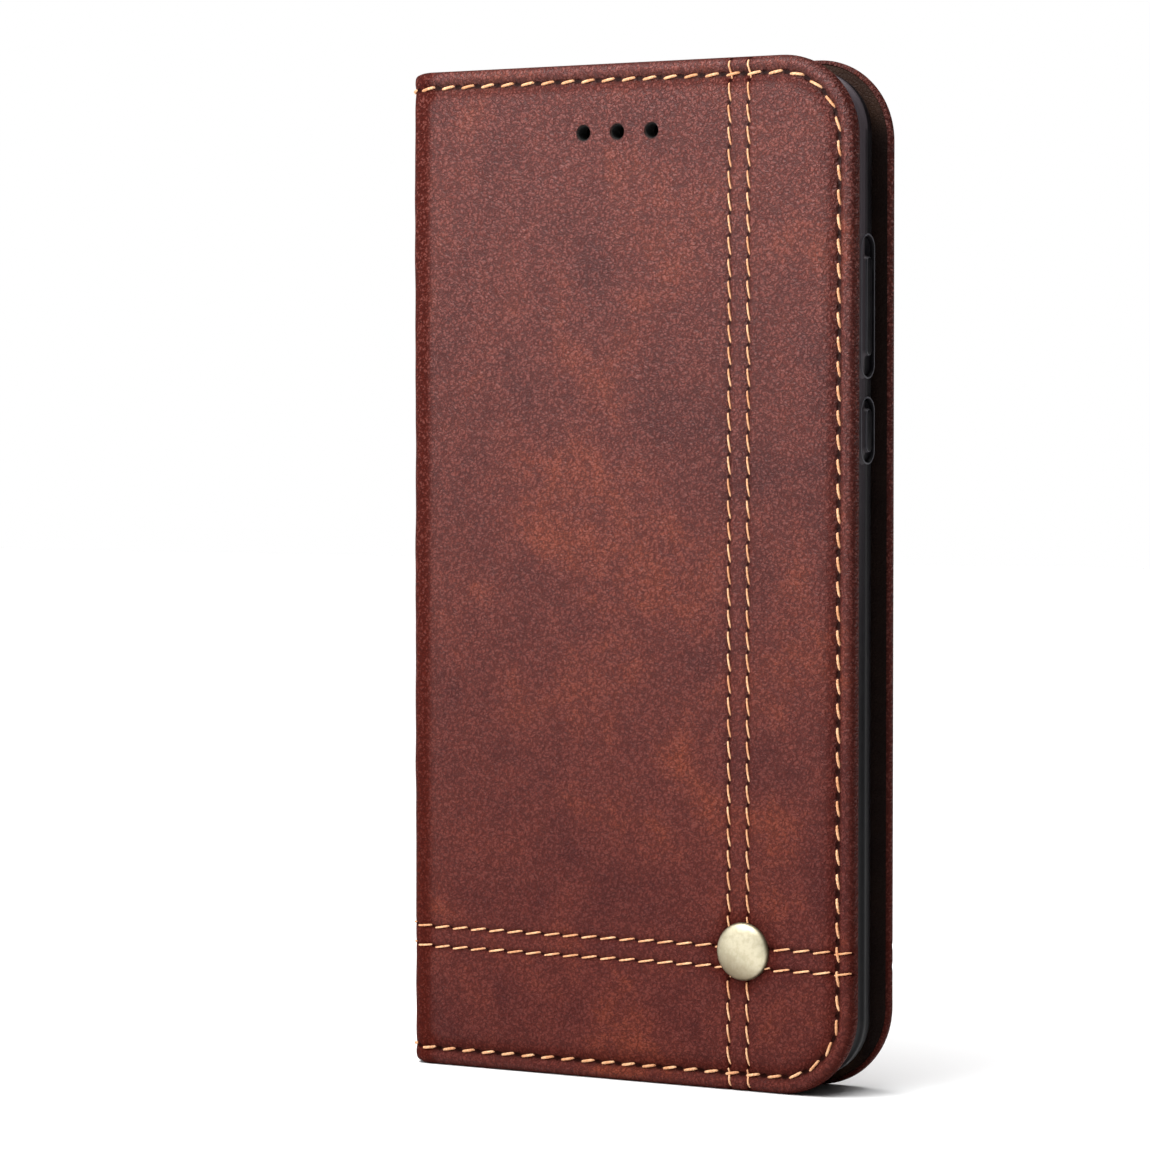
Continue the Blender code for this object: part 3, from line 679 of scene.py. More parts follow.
def carve(thing, cutters):
    """Cut holes in a piece for good, and remove the cutters."""
    for cutter in cutters:
        boolean = thing.modifiers.new("hole", "BOOLEAN")
        boolean.operation = "DIFFERENCE"
        boolean.solver = "MANIFOLD"
        boolean.object = cutter
    bpy.context.view_layer.update()
    graph = bpy.context.evaluated_depsgraph_get()
    cut = bpy.data.meshes.new_from_object(thing.evaluated_get(graph))
    cut.name = thing.name
    thing.modifiers.clear()
    thing.data = cut
    cut.set_sharp_from_angle(angle=radians(40))
    for cutter in cutters:
        bpy.data.objects.remove(cutter)


def hole_cutter(place, centre, size, stations, material, slot=0, steps=10):
    """Return a flared, pill-shaped cutter whose cut faces get a numbered material slot.

    stations are (position, how much wider), from outside in.
    """
    rings = [place(pill(centre, size, grow, steps), at) for at, grow in stations]
    cutter = loft("cutter", rings, [material] * (slot + 1))
    slots = np.full(len(cutter.data.polygons), slot, np.int32)
    cutter.data.polygons.foreach_set("material_index", slots)
    return cutter


# Ear holes and camera opening


def ear_cutters(edge):
    """Return the cutters of the three ear holes, rounded at the leather's face."""
    flare = ((-1.0, 0.2), (-0.12, 0.12), (0.0, 0.03), (0.15, 0.0), (6.0, 0.0))
    stations = [(FRONT + at, grow) for at, grow in flare]
    size = (2 * EAR_RADIUS, 2 * EAR_RADIUS)
    return [hole_cutter(along_y, (point[0], EAR_V), size, stations, edge, slot=1)
            for point in FRONT_SIDE.place(np.array(EAR_HOLES), EAR_V, 0)]


def ear_sleeves(material):
    """Build the black tubes that line the three ear holes: painted hole edges, near black as painted
    shade inside the holes.
    """
    points, faces = [], []
    inner, outer = EAR_RADIUS - 0.05, EAR_RADIUS + 0.02
    top, bottom = FRONT - 0.08, FRONT + 2.30
    steps = 40
    turn = np.linspace(0, 2 * pi, steps, endpoint=False)
    centre = FRONT_SIDE.place(np.array(EAR_HOLES), EAR_V, 0)
    for spot in centre:
        rings = [np.stack((spot[0] + radius * np.cos(turn), np.full(steps, y),
                           EAR_V + radius * np.sin(turn)), -1)
                 for radius, y in ((inner, top), (outer, top), (outer, bottom), (inner, bottom))]
        faces += tube_faces(len(rings), steps, steps * len(points), closed=True, flip=True)
        points += rings
    return make_mesh("ear_hole_sleeves", np.concatenate(points), faces, None, [material])


CAMERA_SPOT = (24.5, 136.0)
CAMERA_SIZE = (11.0, 26.0)


def camera_cutter(edge, flare=0.0):
    """Return a cutter for the camera opening, rounded at the back cover's outer face."""
    stations = ((BACK + 1.0, flare * 2), (BACK + 0.05, flare), (BACK - 0.12, flare * 0.35),
                (BACK - 0.4, 0.0), (BACK - 4.0, 0.0))
    return hole_cutter(along_y, CAMERA_SPOT, CAMERA_SIZE, stations, edge, slot=1, steps=16)


# Phone tray


PORT_Y = FRONT + 7.55
TRAY_RADIUS = 9.5
TRAY_ROUNDING = 4.5
KEY_GAP = 0.3
KEY_NODES = ("volume_key_cover", "power_key_cover")
KEY_BOXES = [box_mm(node) for node in KEY_NODES]
KEY_OPENINGS = [(low.z - KEY_GAP, high.z + KEY_GAP) for low, high in KEY_BOXES]
KEY_Y = (KEY_BOXES[0][0].y + KEY_BOXES[0][1].y) / 2
KEY_WIDTH = KEY_BOXES[0][1].y - KEY_BOXES[0][0].y + 2 * KEY_GAP


def tray_profile():
    """Return the tray's section, inside to outside: (distance in from the side, y)."""
    rim, back, floor_y = TRAY_LOW.y, TRAY_HIGH.y, TRAY_HIGH.y - 0.8
    hollow = TRAY_ROUNDING - 1.2
    profile = []
    for turn in np.linspace(0, pi / 2, 7):
        profile.append((1.4 + hollow * (1 - sin(turn)), floor_y - hollow * (1 - cos(turn))))
    lip = ((1.4, 1.3), (1.5, 0.85), (1.85, 0.68), (2.0, 0.5), (1.98, 0.22), (1.75, 0.05),
           (1.4, 0.0), (1.05, 0.04), (0.82, 0.22), (0.70, 0.5), (0.58, 1.2), (0.44, 2.0),
           (0.36, 2.45), (0.24, 2.62), (0.08, 2.72), (0.0, 2.85), (0.0, 3.3))
    profile += [(inset, rim + drop) for inset, drop in lip]
    for turn in np.linspace(0, pi / 2, 11):
        profile.append((TRAY_ROUNDING * (1 - cos(turn)), back - TRAY_ROUNDING * (1 - sin(turn))))
    return profile


def tray(rubber):
    """Build the soft tray: floor, side wall with its bevel, lip, and the openings in it."""
    rings = []
    for inset, y in tray_profile():
        low = (TRAY_LOW.x + inset, TRAY_LOW.z + inset)
        high = (TRAY_HIGH.x - inset, TRAY_HIGH.z - inset)
        rings.append(along_y(outline(low, high, TRAY_RADIUS - inset, 14), y))
    body = loft("tray_body", rings, [rubber], sharp=50)
    stations = [(TRAY_HIGH.x + 1.0, 0.2), (TRAY_HIGH.x - 2.2, 0.2)]
    cutters = [hole_cutter(along_x, *key_spot(opening), stations, rubber)
               for opening in KEY_OPENINGS]
    middle = (TRAY_LOW.x + TRAY_HIGH.x) / 2
    stations = [(TRAY_LOW.z - 1.0, 0.0), (TRAY_LOW.z + 4.7, 0.0)]
    for x, size in ((0, (13.0, 6.2)), (20, (14.0, 2.2)), (-20, (6.4, 6.399))):
        cutters.append(hole_cutter(along_z, (middle + x, PORT_Y), size, stations, rubber))
    flare = ((1.0, 0.0), (-0.5, 0.0), (-0.75, 0.2), (-2.5, 0.4))
    stations = [(TRAY_HIGH.y + at, grow) for at, grow in flare]
    cutters.append(hole_cutter(along_y, CAMERA_SPOT, CAMERA_SIZE, stations, rubber, steps=16))
    carve(body, cutters)
    return body


def key_spot(opening):
    """Return a key opening's centre and size in (y, z)."""
    return (KEY_Y, sum(opening) / 2), (KEY_WIDTH, opening[1] - opening[0])


def key_rims(rubber):
    """Build the raised rim round each key: a closed ring that stands on the tray's side."""
    points, faces = [], []
    face = TRAY_HIGH.x
    section = [(0.10, face - 1.6), (0.05, face - 0.30), (0.12, face - 0.05), (0.26, face + 0.06),
               (0.42, face + 0.05), (0.60, face - 0.08), (0.95, face - 0.42), (1.2, face - 0.9),
               (1.2, face - 1.6)]
    for opening in KEY_OPENINGS:
        spot, size = key_spot(opening)
        rings = [along_x(pill(spot, size, grow - 0.1), x) for grow, x in section]
        count = len(rings[0])
        faces += tube_faces(len(rings), count, count * len(points), closed=True, flip=True)
        points += rings
    return make_mesh("tray_key_rims", np.concatenate(points), faces, None, [rubber])


def key_cover(name, opening, bar, rubber):
    """Build a key cover: a plate that fills its opening and a raised bar with soft edges."""
    spot, size = key_spot(opening)
    face = TRAY_HIGH.x
    plate_size = (size[0] - 0.3, size[1] - 0.3)
    bar_size = (1.75, size[1] - bar)
    bar_rings = [(0.50, face - 0.50), (0.22, face - 0.42), (0.08, face - 0.22), (0.0, face + 0.12),
                 (-0.06, face + 0.24), (-0.18, face + 0.32), (-0.36, face + 0.35)]
    rings = [along_x(pill(spot, plate_size, grow), x)
             for grow, x in ((-0.1, face - 1.15), (0.0, face - 1.05), (0.0, face - 0.62),
                             (-0.12, face - 0.50))]
    rings += [along_x(pill(spot, bar_size, grow), x) for grow, x in bar_rings]
    return loft(name, rings, [rubber])


# Stud


def stud(brass):
    """Build the domed cap, a little sunk in the leather."""
    rise = FRONT - STUD_LOW.y
    top = rise - 0.02
    profile = [(0.02, top), (0.8, top - 0.01), (1.6, top - 0.045), (2.4, top - 0.12),
               (3.1, top - 0.24), (3.6, top - 0.38), (3.95, top - 0.54), (4.2, top - 0.73),
               (4.36, top - 0.93), (4.44, top - 1.12), (4.46, top - 1.3), (4.40, top - 1.46),
               (4.2, top - 1.58), (3.6, top - 1.66), (0.02, top - 1.66)]
    steps = 96
    turn = np.linspace(0, 2 * pi, steps, endpoint=False)
    rings = [np.stack((radius * np.cos(turn), np.full(steps, -height), radius * np.sin(turn)), -1)
             for radius, height in profile]
    cap = loft("stud_dome", rings, [brass], sharp=50)
    cap.location = Vector((STUD_X, FRONT, STUD_V)) * MM
    return cap


# Materials


class Nodes:
    """A node tree being made."""

    def __init__(self, tree):
        self.tree = tree

    def node(self, kind, inputs, **settings):
        """Add a node whose inputs are numbers, colours or sockets."""
        node = self.tree.nodes.new("ShaderNode" + kind)
        for key, value in settings.items():
            setattr(node, key, value)
        for key, value in inputs.items():
            if isinstance(value, bpy.types.NodeSocket):
                self.tree.links.new(value, node.inputs[key])
            else:
                node.inputs[key].default_value = value
        return node

    def math(self, operation, a, b=0.0, clamp=False):
        """Return one sum."""
        return self.node("Math", {0: a, 1: b}, operation=operation, use_clamp=clamp).outputs[0]

    def plus(self, a, b, clamp=False):
        """Return a + b."""
        return self.math("ADD", a, b, clamp)

    def minus(self, a, b):
        """Return a - b."""
        return self.math("SUBTRACT", a, b)

    def times(self, a, b, clamp=False):
        """Return a * b."""
        return self.math("MULTIPLY", a, b, clamp)

    def vector(self, operation, a, b=(0.0, 0.0, 0.0)):
        """Return the outputs of one vector sum."""
        return self.node("VectorMath", {0: a, 1: b}, operation=operation).outputs


class Look(Nodes):
    """A material being made: it adds nodes and joins them to the shader."""

    def __init__(self, name, **values):
        self.material = bpy.data.materials.new(name)
        self.material.use_nodes = True
        super().__init__(self.material.node_tree)
        self.shader = self.tree.nodes["Principled BSDF"]
        for key, value in values.items():
            self.shader.inputs[key.replace("_", " ")].default_value = value

    def place(self, source, scale):
        """Return texture coordinates, UV or Object, times a scale."""
        start = self.node("TexCoord", {}).outputs[source]
        scale = (scale, scale, scale) if isinstance(scale, (int, float)) else scale
        return self.node("Mapping", {"Vector": start, "Scale": scale}).outputs["Vector"]

    def axis(self, place, name):
        """Return one coordinate, X, Y or Z."""
        return self.node("SeparateXYZ", {"Vector": place}).outputs[name]

    def noise(self, place, scale, detail=2.0, rough=0.5, distort=0.0):
        """Return smooth noise from about 0.3 to 0.7."""
        inputs = {"Vector": place, "Scale": scale, "Detail": detail, "Roughness": rough,
                  "Distortion": distort}
        return self.node("TexNoise", inputs).outputs["Fac"]

    def cells(self, place, scale, feature="DISTANCE_TO_EDGE"):
        """Return the distance to the edges, or the centre, of grain cells."""
        inputs = {"Vector": place, "Scale": scale}
        return self.node("TexVoronoi", inputs, feature=feature).outputs["Distance"]

    def span(self, value, low, high, to_low=0.0, to_high=1.0):
        """Return a value taken smoothly from one range to another."""
        inputs = {"Value": value, "From Min": low, "From Max": high, "To Min": to_low,
                  "To Max": to_high}
        return self.node("MapRange", inputs, interpolation_type="SMOOTHSTEP").outputs["Result"]

    def mix(self, share, a, b):
        """Return a colour between two colours, each a socket or (red, green, blue)."""
        a, b = ((*x, 1) if isinstance(x, tuple) else x for x in (a, b))
        return self.node("Mix", {0: share, 6: a, 7: b}, data_type="RGBA").outputs[2]

    def stored(self, name):
        """Return a value stored on the mesh."""
        return self.node("Attribute", {}, attribute_name=name).outputs["Fac"]

    def bump(self, height, distance, below=None):
        """Return a bumped normal; distance is in millimetres."""
        inputs = {"Height": height, "Strength": 1.0, "Distance": distance * MM}
        if below is not None:
            inputs["Normal"] = below
        return self.node("Bump", inputs).outputs["Normal"]

    def use(self, **sockets):
        """Join sockets to the shader and return the material."""
        for key, socket in sockets.items():
            self.tree.links.new(socket, self.shader.inputs[key.replace("_", " ")])
        return self.material


def needle_holes(look, across, along, step, size):
    """Return how near each place is to a needle hole of a stitch line, from 0 to 1."""
    length, width = size
    turn = look.plus(look.math("DIVIDE", along, step), 0.5)
    off = look.times(look.minus(look.math("FRACT", turn), 0.5), step / length)
    across = look.math("DIVIDE", across, width)
    reach = look.math("SQRT", look.plus(look.times(off, off), look.times(across, across)))
    return look.span(reach, 0.35, 1.0, 1.0, 0.0)


def all_needle_holes(look, place, has_columns):
    """Return the needle holes of every stitch line on a sheet."""
    u, v = look.math("ABSOLUTE", look.axis(place, "X")), look.axis(place, "Y")
    lines = [(look.minus(look.stored("across"), EDGE_STITCH), look.stored("along"), EDGE_STEP,
              EDGE_HOLE)]
    lines += [(look.minus(v, row), u, ROW_STEP, ROW_HOLE) for row in ROWS]
    if has_columns:
        along = look.minus(v, COLUMN_START)
        lines += [(look.minus(u, column), along, COLUMN_STEP, ROW_HOLE) for column in COLUMNS]
    total = needle_holes(look, *lines[0])
    for line in lines[1:]:
        total = look.math("MAXIMUM", total, needle_holes(look, *line))
    return total


def leather_tone(look, place):
    """Return the leather's mottled colour."""
    dark, middle, bright = (0.066, 0.0135, 0.0125), (0.104, 0.0215, 0.0165), (0.172, 0.035, 0.018)
    tone = look.plus(look.times(look.noise(place, 0.036, 3, 0.6, 0.8), 0.50),
                     look.times(look.noise(place, 0.13, 4, 0.6, 0.5), 0.32))
    tone = look.plus(tone, look.times(look.noise(place, 1.1, 3, 0.6), 0.18))
    colour = look.mix(look.span(tone, 0.34, 0.52), dark, middle)
    return look.mix(look.span(tone, 0.49, 0.66), colour, bright)


def leather_grain(look, place):
    """Return the height of the grain: small uneven pebbles with fine wrinkles over them."""
    sway = look.node("TexNoise", {"Vector": place, "Scale": 0.9, "Detail": 2.0}).outputs["Color"]
    sway = look.vector("MULTIPLY", sway, (0.9, 0.9, 0.0))[0]
    bent = look.vector("ADD", place, sway)[0]
    pebble = look.span(look.cells(bent, 2.0, "F1"), 0.12, 0.72, 1.0, 0.0)
    small = look.span(look.cells(bent, 3.9, "F1"), 0.10, 0.75, 1.0, 0.0)
    height = look.plus(look.times(pebble, 0.55), look.times(small, 0.30))
    return look.plus(height, look.times(look.noise(bent, 4.0, 3, 0.65), 0.55))


def leather_look(name, has_columns):
    """Return mottled pull-up leather, with painted shade in its grooves, needle holes and grain
    valleys and painted sheen on its grain crests; its pattern follows the sheet in millimetres.
    """
    look = Look(name)
    place = look.place("UV", 100)
    upward = look.axis(place, "Y")
    # the stored red: the leather's darker red, with painted shade inside the edge stitch, over the
    # crease and round the stud
    red = look.times(look.stored("red"), 0.66, clamp=True)
    colour = look.mix(red, leather_tone(look, place), (0.066, 0.0095, 0.006))
    # darker towards the outline and over the rolled rim's side and turned edge
    outline_darkening = look.span(look.stored("across"), -0.2, 1.1, 0.5, 0.0)
    colour = look.mix(outline_darkening, colour, (0.030, 0.008, 0.006))
    shine = look.times(look.span(red, 0.2, 0.9, 1.0, 0.12), look.span(upward, 0, 150, 0.05, 0.26))

    height = leather_grain(look, place)
    # darker grain valleys: the grain's own colour with painted shade in its hollows
    colour = look.mix(look.span(height, 0.20, 0.75, 0.62, 0.0), colour, (0.030, 0.006, 0.005))
    # painted sheen: pinkish light on the grain's crests, stronger towards the top
    crest_sheen = look.times(look.span(height, 0.55, 1.0), look.span(upward, 10, 150, 0.08, 0.28))
    colour = look.mix(crest_sheen, colour, (0.34, 0.125, 0.105))
    # darker where the leather is sunk: painted shade in the stitch grooves and round the ear holes and
    # stud, and a dark line where the rim turns
    sunk = look.times(look.stored("sunk"), 1.8, clamp=True)
    colour = look.mix(sunk, colour, (0.034, 0.006, 0.004))
    # painted shade: near black in the needle holes
    hole = all_needle_holes(look, place, has_columns)
    colour = look.mix(look.times(hole, 0.92), colour, (0.014, 0.003, 0.002))
    rough = look.span(look.noise(place, 0.6, 3, 0.6), 0.3, 0.7, 0.34, 0.46)
    rough = look.plus(rough, look.times(hole, 0.4), clamp=True)
    normal = look.bump(look.noise(place, 0.55, 3, 0.6), 0.16)
    normal = look.bump(height, 0.24, normal)
    normal = look.bump(look.minus(1.0, hole), 0.12, normal)
    return look.use(Base_Color=colour, Roughness=rough, Normal=normal, Specular_IOR_Level=shine)


def edge_look(name, deep, light):
    """Return the raw, dyed edge where something is cut."""
    look = Look(name)
    place = look.place("Object", 1000)
    fibre = look.noise(place, 3.0, 4, 0.7)
    colour = look.mix(look.span(fibre, 0.35, 0.65), deep, light)
    return look.use(Base_Color=colour, Roughness=look.span(fibre, 0.3, 0.7, 0.7, 0.9),
                    Normal=look.bump(fibre, 0.08))


def lining_look(name, deep, light, painted_edge_shade=False):
    """Return the smooth, faintly grained lining, which may have painted shade near its free edge."""
    look = Look(name, Specular_IOR_Level=0.06)
    place = look.place("UV", 100)
    tone = look.noise(place, 0.12, 4, 0.6)
    colour = look.mix(look.span(tone, 0.35, 0.65), deep, light)
    # painted shade: near black by the free edge, fading out towards the top corner
    if painted_edge_shade:
        u, v = look.math("ABSOLUTE", look.axis(place, "X")), look.axis(place, "Y")
        share = look.times(look.span(u, SHEET_END - 9, SHEET_END - 3),
                           look.span(v, HEIGHT - 13, HEIGHT - 5, 0.85, 0.0))
        colour = look.mix(share, colour, (0.005, 0.003, 0.003))
    grain = look.cells(place, 1.5)
    colour = look.mix(look.span(grain, 0.0, 0.15, 0.25, 0.0), colour, (0.01, 0.004, 0.003))
    height = look.plus(look.span(grain, 0.0, 0.2), look.noise(place, 3.5, 2))
    rough = look.span(look.noise(place, 0.7, 3), 0.3, 0.7, 0.50, 0.62)
    return look.use(Base_Color=colour, Roughness=rough, Normal=look.bump(height, 0.04))


def thread_look():
    """Return waxed peach thread, browner between its two strands."""
    look = Look("thread", IOR=1.45)
    place = look.place("UV", 100)
    fibre = look.noise(place, 2.4, 3, 0.6)
    tint = look.noise(place, 0.30, 2)
    colour = look.mix(look.span(tint, 0.35, 0.65), (0.66, 0.31, 0.145), (0.86, 0.50, 0.27))
    colour = look.mix(look.span(fibre, 0.35, 0.60, 0.55, 0.0), colour, (0.34, 0.12, 0.04))
    rough = look.span(fibre, 0.3, 0.7, 0.45, 0.65)
    return look.use(Base_Color=colour, Roughness=rough, Normal=look.bump(fibre, 0.05))


def rubber_look():
    """Return black moulded rubber with a faint satin texture, and painted highlights on the tray's lip
    and along the keys.
    """
    look = Look("rubber")
    place = look.place("Object", 1000)
    fine = look.noise(place, 9.0, 2, 0.5)
    dust = look.noise(place, 0.35, 4, 0.65)
    colour = look.mix(look.span(dust, 0.4, 0.7), (0.0045, 0.004, 0.005), (0.009, 0.0085, 0.0095))
    x = look.axis(place, "X")
    lip = look.span(look.axis(place, "Y"), TRAY_LOW.y + 3.3, TRAY_LOW.y + 3.8, 1.0, 0.0)
    # painted highlight: lighter grey on the tray's lip facet, fading out towards the bottom
    painted_lip_highlight = look.times(lip, look.span(look.axis(place, "Z"), 50, 135))
    face = TRAY_HIGH.x
    painted_lip_highlight = look.times(painted_lip_highlight, look.span(x, face - 0.04, face + 0.02, 1.0, 0.0))
    colour = look.mix(painted_lip_highlight, colour, (0.054, 0.044, 0.050))
    # painted highlights: lighter lines at two distances out from the tray's side, along the key rims
    # and key bars
    for low, high in ((0.0, 0.05), (0.16, 0.24)):
        streak = look.times(look.span(x, face + low, face + high),
                         look.span(x, face + high + 0.03, face + high + 0.07, 1.0, 0.0))
        colour = look.mix(streak, colour, (0.070, 0.068, 0.076))
    shine = look.plus(look.times(lip, 0.08), 0.03)
    rough = look.span(dust, 0.3, 0.7, 0.30, 0.42)
    return look.use(Base_Color=colour, Roughness=rough, Specular_IOR_Level=shine,
                    Normal=look.bump(fine, 0.012))


def brass_look():
    """Return brushed champagne brass with random patina, painted shade round its rim and painted shade
    towards its lower left.
    """
    look = Look("brass", Metallic=1.0)
    place = look.place("Object", 1000)
    flat = look.vector("MULTIPLY", place, (1.0, 0.0, 1.0))[0]
    reach = look.vector("LENGTH", flat)["Value"]
    streak = look.noise(look.place("Object", (1200, 400, 400)), 2.2, 4, 0.7)
    patina = look.noise(place, 0.9, 4, 0.65)
    colour = look.mix(look.span(patina, 0.35, 0.65), (0.53, 0.48, 0.34), (0.64, 0.59, 0.44))
    # darker round the rim: painted shade where the cap turns under into the leather; the random part
    # is patina
    dark = look.plus(look.span(reach, 4.05, 4.45, 0.0, 0.85), look.span(patina, 0.55, 0.8, 0, 0.2))
    colour = look.mix(look.math("MINIMUM", dark, 0.9), colour, (0.10, 0.075, 0.04))
    # painted shade: darker towards the lower left
    low = look.vector("DOT_PRODUCT", place, (-0.45, 0.0, -0.89))["Value"]
    shade = look.span(low, -1.0, 4.2, 0.0, 0.90)
    colour = look.mix(shade, colour, (0.15, 0.115, 0.07))
    rough = look.span(streak, 0.3, 0.7, 0.48, 0.58)
    return look.use(Base_Color=colour, Roughness=rough, Normal=look.bump(streak, 0.010))


def metal_look():
    """Return the nickel plating of the hidden magnets."""
    look = Look("magnet_nickel", Metallic=1.0)
    place = look.place("Object", (400, 400, 4000))
    brush = look.noise(place, 1.5, 3, 0.6)
    colour = look.mix(brush, (0.40, 0.40, 0.42), (0.62, 0.62, 0.63))
    return look.use(Base_Color=colour, Roughness=look.span(brush, 0.3, 0.7, 0.25, 0.45))


def board_look():
    """Return grey board with fibres."""
    look = Look("grey_board")
    place = look.place("Object", (900, 900, 2500))
    fibre = look.noise(place, 1.2, 5, 0.7)
    colour = look.mix(look.span(fibre, 0.35, 0.65), (0.16, 0.13, 0.10), (0.33, 0.29, 0.23))
    return look.use(Base_Color=colour, Roughness=look.span(fibre, 0.3, 0.7, 0.8, 0.95),
                    Normal=look.bump(fibre, 0.05))


def film_look():
    """Return the cloudy adhesive film behind the tray."""
    look = Look("adhesive_film")
    place = look.place("Object", 1000)
    cloud = look.noise(place, 0.4, 3, 0.6)
    colour = look.mix(cloud, (0.50, 0.47, 0.40), (0.70, 0.67, 0.60))
    return look.use(Base_Color=colour, Roughness=look.span(cloud, 0.3, 0.7, 0.3, 0.5))


# Assembly

FRONT_SKIN = leather_look("front_leather", True)
BACK_SKIN = leather_look("back_leather", False)
CUT_EDGE = edge_look("cut_edge", (0.014, 0.006, 0.005), (0.045, 0.016, 0.012))
# near black ear-hole edges: painted shade inside the holes
HOLE_PAINT_AND_SHADE = edge_look("hole_paint_and_shade", (0.002, 0.002, 0.002), (0.004, 0.004, 0.004))
# the lining's colours are darker than its own brown: partly painted shade
LINING_SKIN = lining_look("lining", (0.026, 0.013, 0.009), (0.047, 0.024, 0.015), True)
POCKET_SKIN = lining_look("pocket", (0.044, 0.020, 0.013), (0.074, 0.034, 0.022))
THREAD_SKIN = thread_look()
RUBBER = rubber_look()
BRASS = brass_look()


def bend_with_cover(thing, side, slot, *nodes):
    """Bake a piece's place into its mesh and hide the CAD nodes it stands for."""
    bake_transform(thing)
    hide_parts(*nodes)


def lining(side, materials):
    """Build a cover's lining with half of the spine's, let in between the turned edges."""
    inset = side.turn_in + 0.05
    radius = CORNER_RADIUS - inset
    profile = ((0.25, 0.0), (0.0, 0.05), (0.0, 0.28), (0.08, 0.37), (0.25, 0.40))
    return panel(side, side.name + "_lining_sheet", (0, SHEET_END - inset, inset, HEIGHT - inset),
                 (radius, radius), profile, lambda u: side.rim_thickness(u) - 0.5, materials)


def declare_sheet(area=None):
    """Turn a flat size in millimetres into square metres; nothing is done with it."""
    area = None if area is None else area * MM * MM


def at_x(x):
    """Return the place along the front leather at an x."""
    return CREASE_END + x - LEFT - CREASE_RADIUS


POCKET_INSET = 1.7
POCKETS = (("cash_pocket", "cash_pocket_panel", -30.0, 138.0, 2.52),
           ("card_pocket_back", "card_pocket_rear", -22.0, 118.0, 2.80),
           ("card_pocket_top", "card_pocket_front", -22.0, 96.0, 3.06))


def pocket(name, x, top, depth, materials):
    """Build one pocket panel, rounded where it lies against the cover's corner."""
    bounds = (at_x(x), SHEET_END - POCKET_INSET, POCKET_INSET, top)
    profile = ((0.15, 0.0), (0.0, 0.04), (0.0, 0.16), (0.06, 0.22), (0.18, 0.24))
    return panel(FRONT_SIDE, name, bounds, (CORNER_RADIUS - POCKET_INSET, 0.6), profile,
                 lambda u: np.full(np.shape(u), depth), materials)


front_leather = leather_sheet(FRONT_SIDE, [FRONT_SKIN, CUT_EDGE])
carve(front_leather, ear_cutters(CUT_EDGE))
bend_with_cover(front_leather, FRONT_SIDE, "leather", "front_cover_skin", "front_crease", "spine_skin")
declare_sheet()

back_leather = leather_sheet(BACK_SIDE, [BACK_SKIN, CUT_EDGE])
carve(back_leather, [camera_cutter(CUT_EDGE, 0.35)])
bend_with_cover(back_leather, BACK_SIDE, "leather", "back_cover_skin", "back_crease")
declare_sheet()

front_lining = lining(FRONT_SIDE, [LINING_SKIN, CUT_EDGE])
carve(front_lining, ear_cutters(CUT_EDGE))
bend_with_cover(front_lining, FRONT_SIDE, "lining", "front_cover_lining", "spine_lining")
declare_sheet()
back_lining = lining(BACK_SIDE, [LINING_SKIN, CUT_EDGE])
carve(back_lining, [camera_cutter(CUT_EDGE)])
bend_with_cover(back_lining, BACK_SIDE, "lining", "back_cover_lining")
declare_sheet()

for name, node, x, top, depth in POCKETS:
    panel_piece = pocket(name, x, top, depth, [POCKET_SKIN])
    attach(panel_piece, "front_cover", "lining", node)
    declare_sheet()

bend_with_cover(side_stitches(FRONT_SIDE, THREAD_SKIN), FRONT_SIDE, "thread",
                "front_edge_thread", "front_row_thread_inner", "front_row_thread_outer",
                "spine_edge_thread_bottom", "spine_edge_thread_top", "spine_row_thread_lower",
                "spine_row_thread_upper")
bend_with_cover(side_stitches(BACK_SIDE, THREAD_SKIN), BACK_SIDE, "thread",
                "back_edge_thread", "back_row_thread_lower", "back_row_thread_upper")
attach(column_stitches(THREAD_SKIN), "front_cover", "thread",
       "front_column_thread_upper", "front_column_thread_lower")

attach(stud(BRASS), "front_cover", "brass", "stud_cap")
attach(tray(RUBBER), "back_cover", "rubber", "phone_tray")
attach(key_rims(RUBBER), "back_cover", "rubber")
attach(key_cover("volume_key_pad", KEY_OPENINGS[0], 6.3, RUBBER), "volume_key", "rubber",
       "volume_key_cover")
attach(key_cover("power_key_pad", KEY_OPENINGS[1], 3.0, RUBBER), "power_key", "rubber",
       "power_key_cover")
attach(ear_sleeves(HOLE_PAINT_AND_SHADE), "front_cover", "leather")

HIDDEN_LOOKS = {"board": board_look(), "magnet": metal_look(), "adhesive": film_look(),
                "stud_post": BRASS}
for node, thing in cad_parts.items():
    for word, look in HIDDEN_LOOKS.items():
        if word in node:
            thing.material_slots[0].material = look


# Floor, light and camera


def floor():
    """Build the pale studio floor, far wider than the case."""
    reach = 2500.0
    corners = [(-reach, -reach, 0), (reach, -reach, 0), (reach, reach, 0), (-reach, reach, 0)]
    look = Look("studio_floor")
    tone = look.noise(look.place("Object", 1), 3.0, 2)
    colour = look.mix(tone, (0.84, 0.84, 0.84), (0.87, 0.87, 0.87))
    look.use(Base_Color=colour, Roughness=look.span(tone, 0.3, 0.7, 0.6, 0.7))
    return make_mesh("studio_floor", corners, [(0, 1, 2, 3)], None, [look.material])


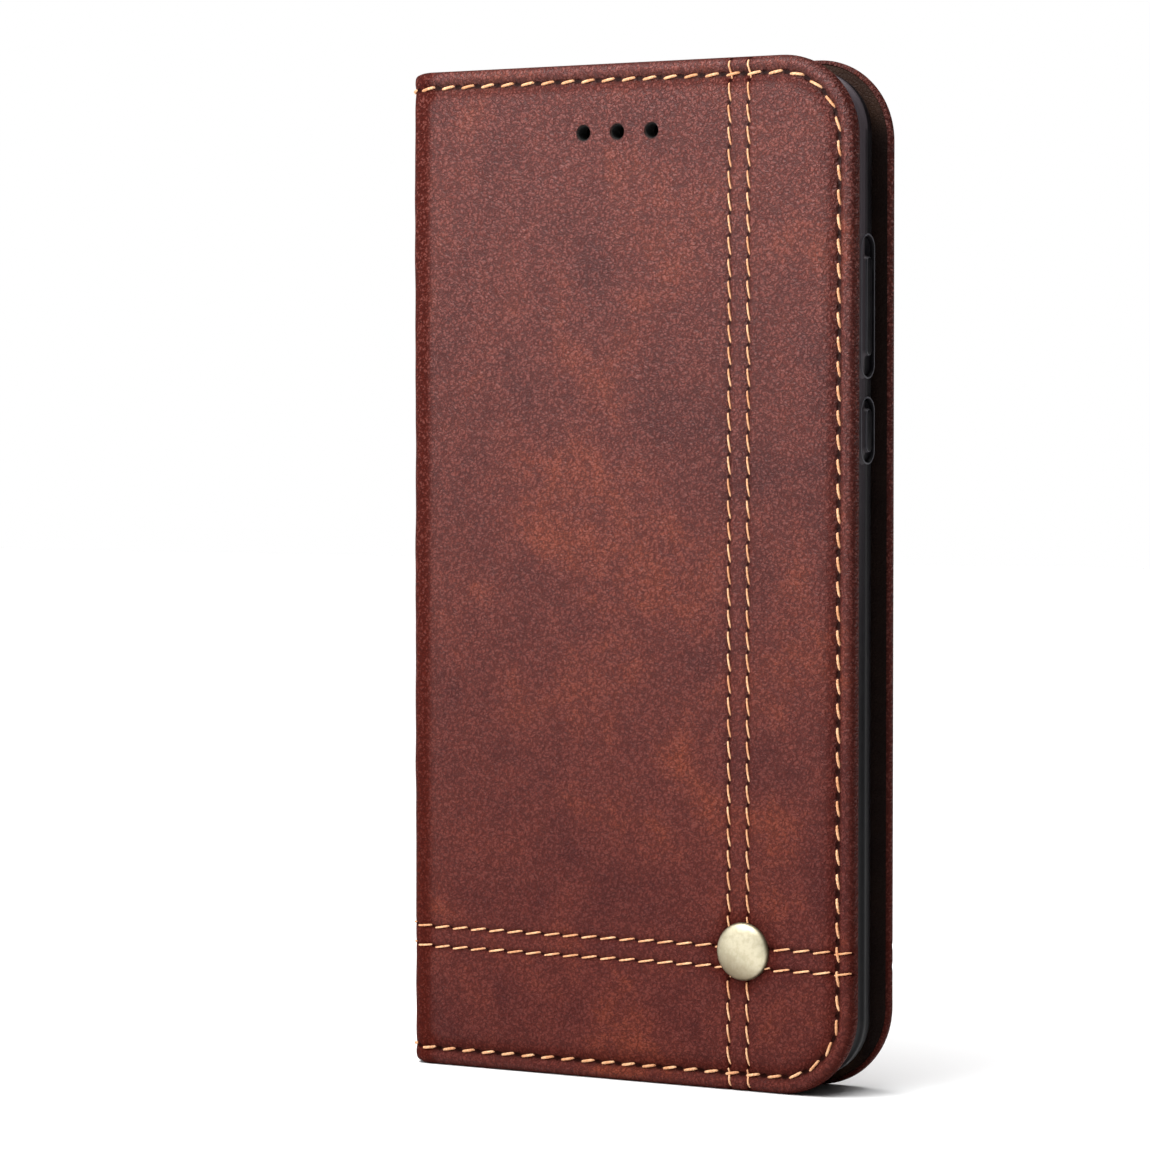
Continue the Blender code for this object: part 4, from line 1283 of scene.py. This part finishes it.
def softbox(name, spot, target, size, power):
    """Add a soft square light at a spot (metres), turned to a target."""
    data = bpy.data.lights.new(name, "AREA")
    data.shape = "RECTANGLE"
    data.size, data.size_y = size
    data.energy = power
    lamp = add_object(name, data)
    lamp.location = spot
    lamp.visible_camera = False
    lamp.rotation_euler = (Vector(target) - Vector(spot)).to_track_quat("-Z", "Y").to_euler()


floor()
softbox("key_light", (-0.07, -0.22, 0.38), (0, 0, 0.13), (0.22, 0.22), 1.8)
softbox("sheen_light", (-0.33, -0.55, 0.33), (0, 0, 0.16), (0.24, 0.20), 0.8)
sun = bpy.data.lights.new("overhead", "SUN")
sun.energy = 3.3
sun.angle = radians(50)
add_object("overhead", sun)


def studio_world():
    """Return a white backdrop whose light on the case is softer and comes from above."""
    world = bpy.data.worlds.new("studio")
    world.use_nodes = True
    world.node_tree.nodes.clear()
    sky = Nodes(world.node_tree)
    place = sky.node("TexCoord", {}).outputs["Generated"]
    toward = sky.vector("DOT_PRODUCT", place, (-0.32, -0.36, 0.88))["Value"]
    rise = sky.node("MapRange", {"Value": toward, "From Min": 0.2, "To Min": 0.03, "To Max": 0.95})
    ambient = sky.node("Background", {"Strength": rise.outputs["Result"]}).outputs[0]
    backdrop = sky.node("Background", {"Color": (1, 1, 1, 1)}).outputs[0]
    seen = sky.node("LightPath", {}).outputs["Is Camera Ray"]
    both = sky.node("MixShader", {0: seen, 1: ambient, 2: backdrop}).outputs[0]
    sky.node("OutputWorld", {"Surface": both})
    return world


bpy.context.scene.world = studio_world()
bpy.context.scene.view_settings.view_transform = "Standard"

# The camera is placed from the front cover's lower right corner
TURN = radians(31.12)
TILT = radians(-1.79)
LENS = 137.5
CAMERA_DEPTH = 659.9
CORNER_OFFSET = 41.8
CAMERA_HEIGHT = 100.0
ahead = Vector((-sin(TURN), cos(TURN), 0))
rightward = Vector((cos(TURN), sin(TURN), 0))
corner = Vector((RIGHT, FRONT, 0))
eye = corner - ahead * CAMERA_DEPTH - rightward * CORNER_OFFSET + Vector((0, 0, CAMERA_HEIGHT))
lens = bpy.data.cameras.new("camera")
lens.sensor_width = 36
lens.lens = LENS
camera = add_object("camera", lens)
camera.location = eye * MM
camera.rotation_euler = (pi / 2 + TILT, 0, TURN)
bpy.context.scene.camera = camera
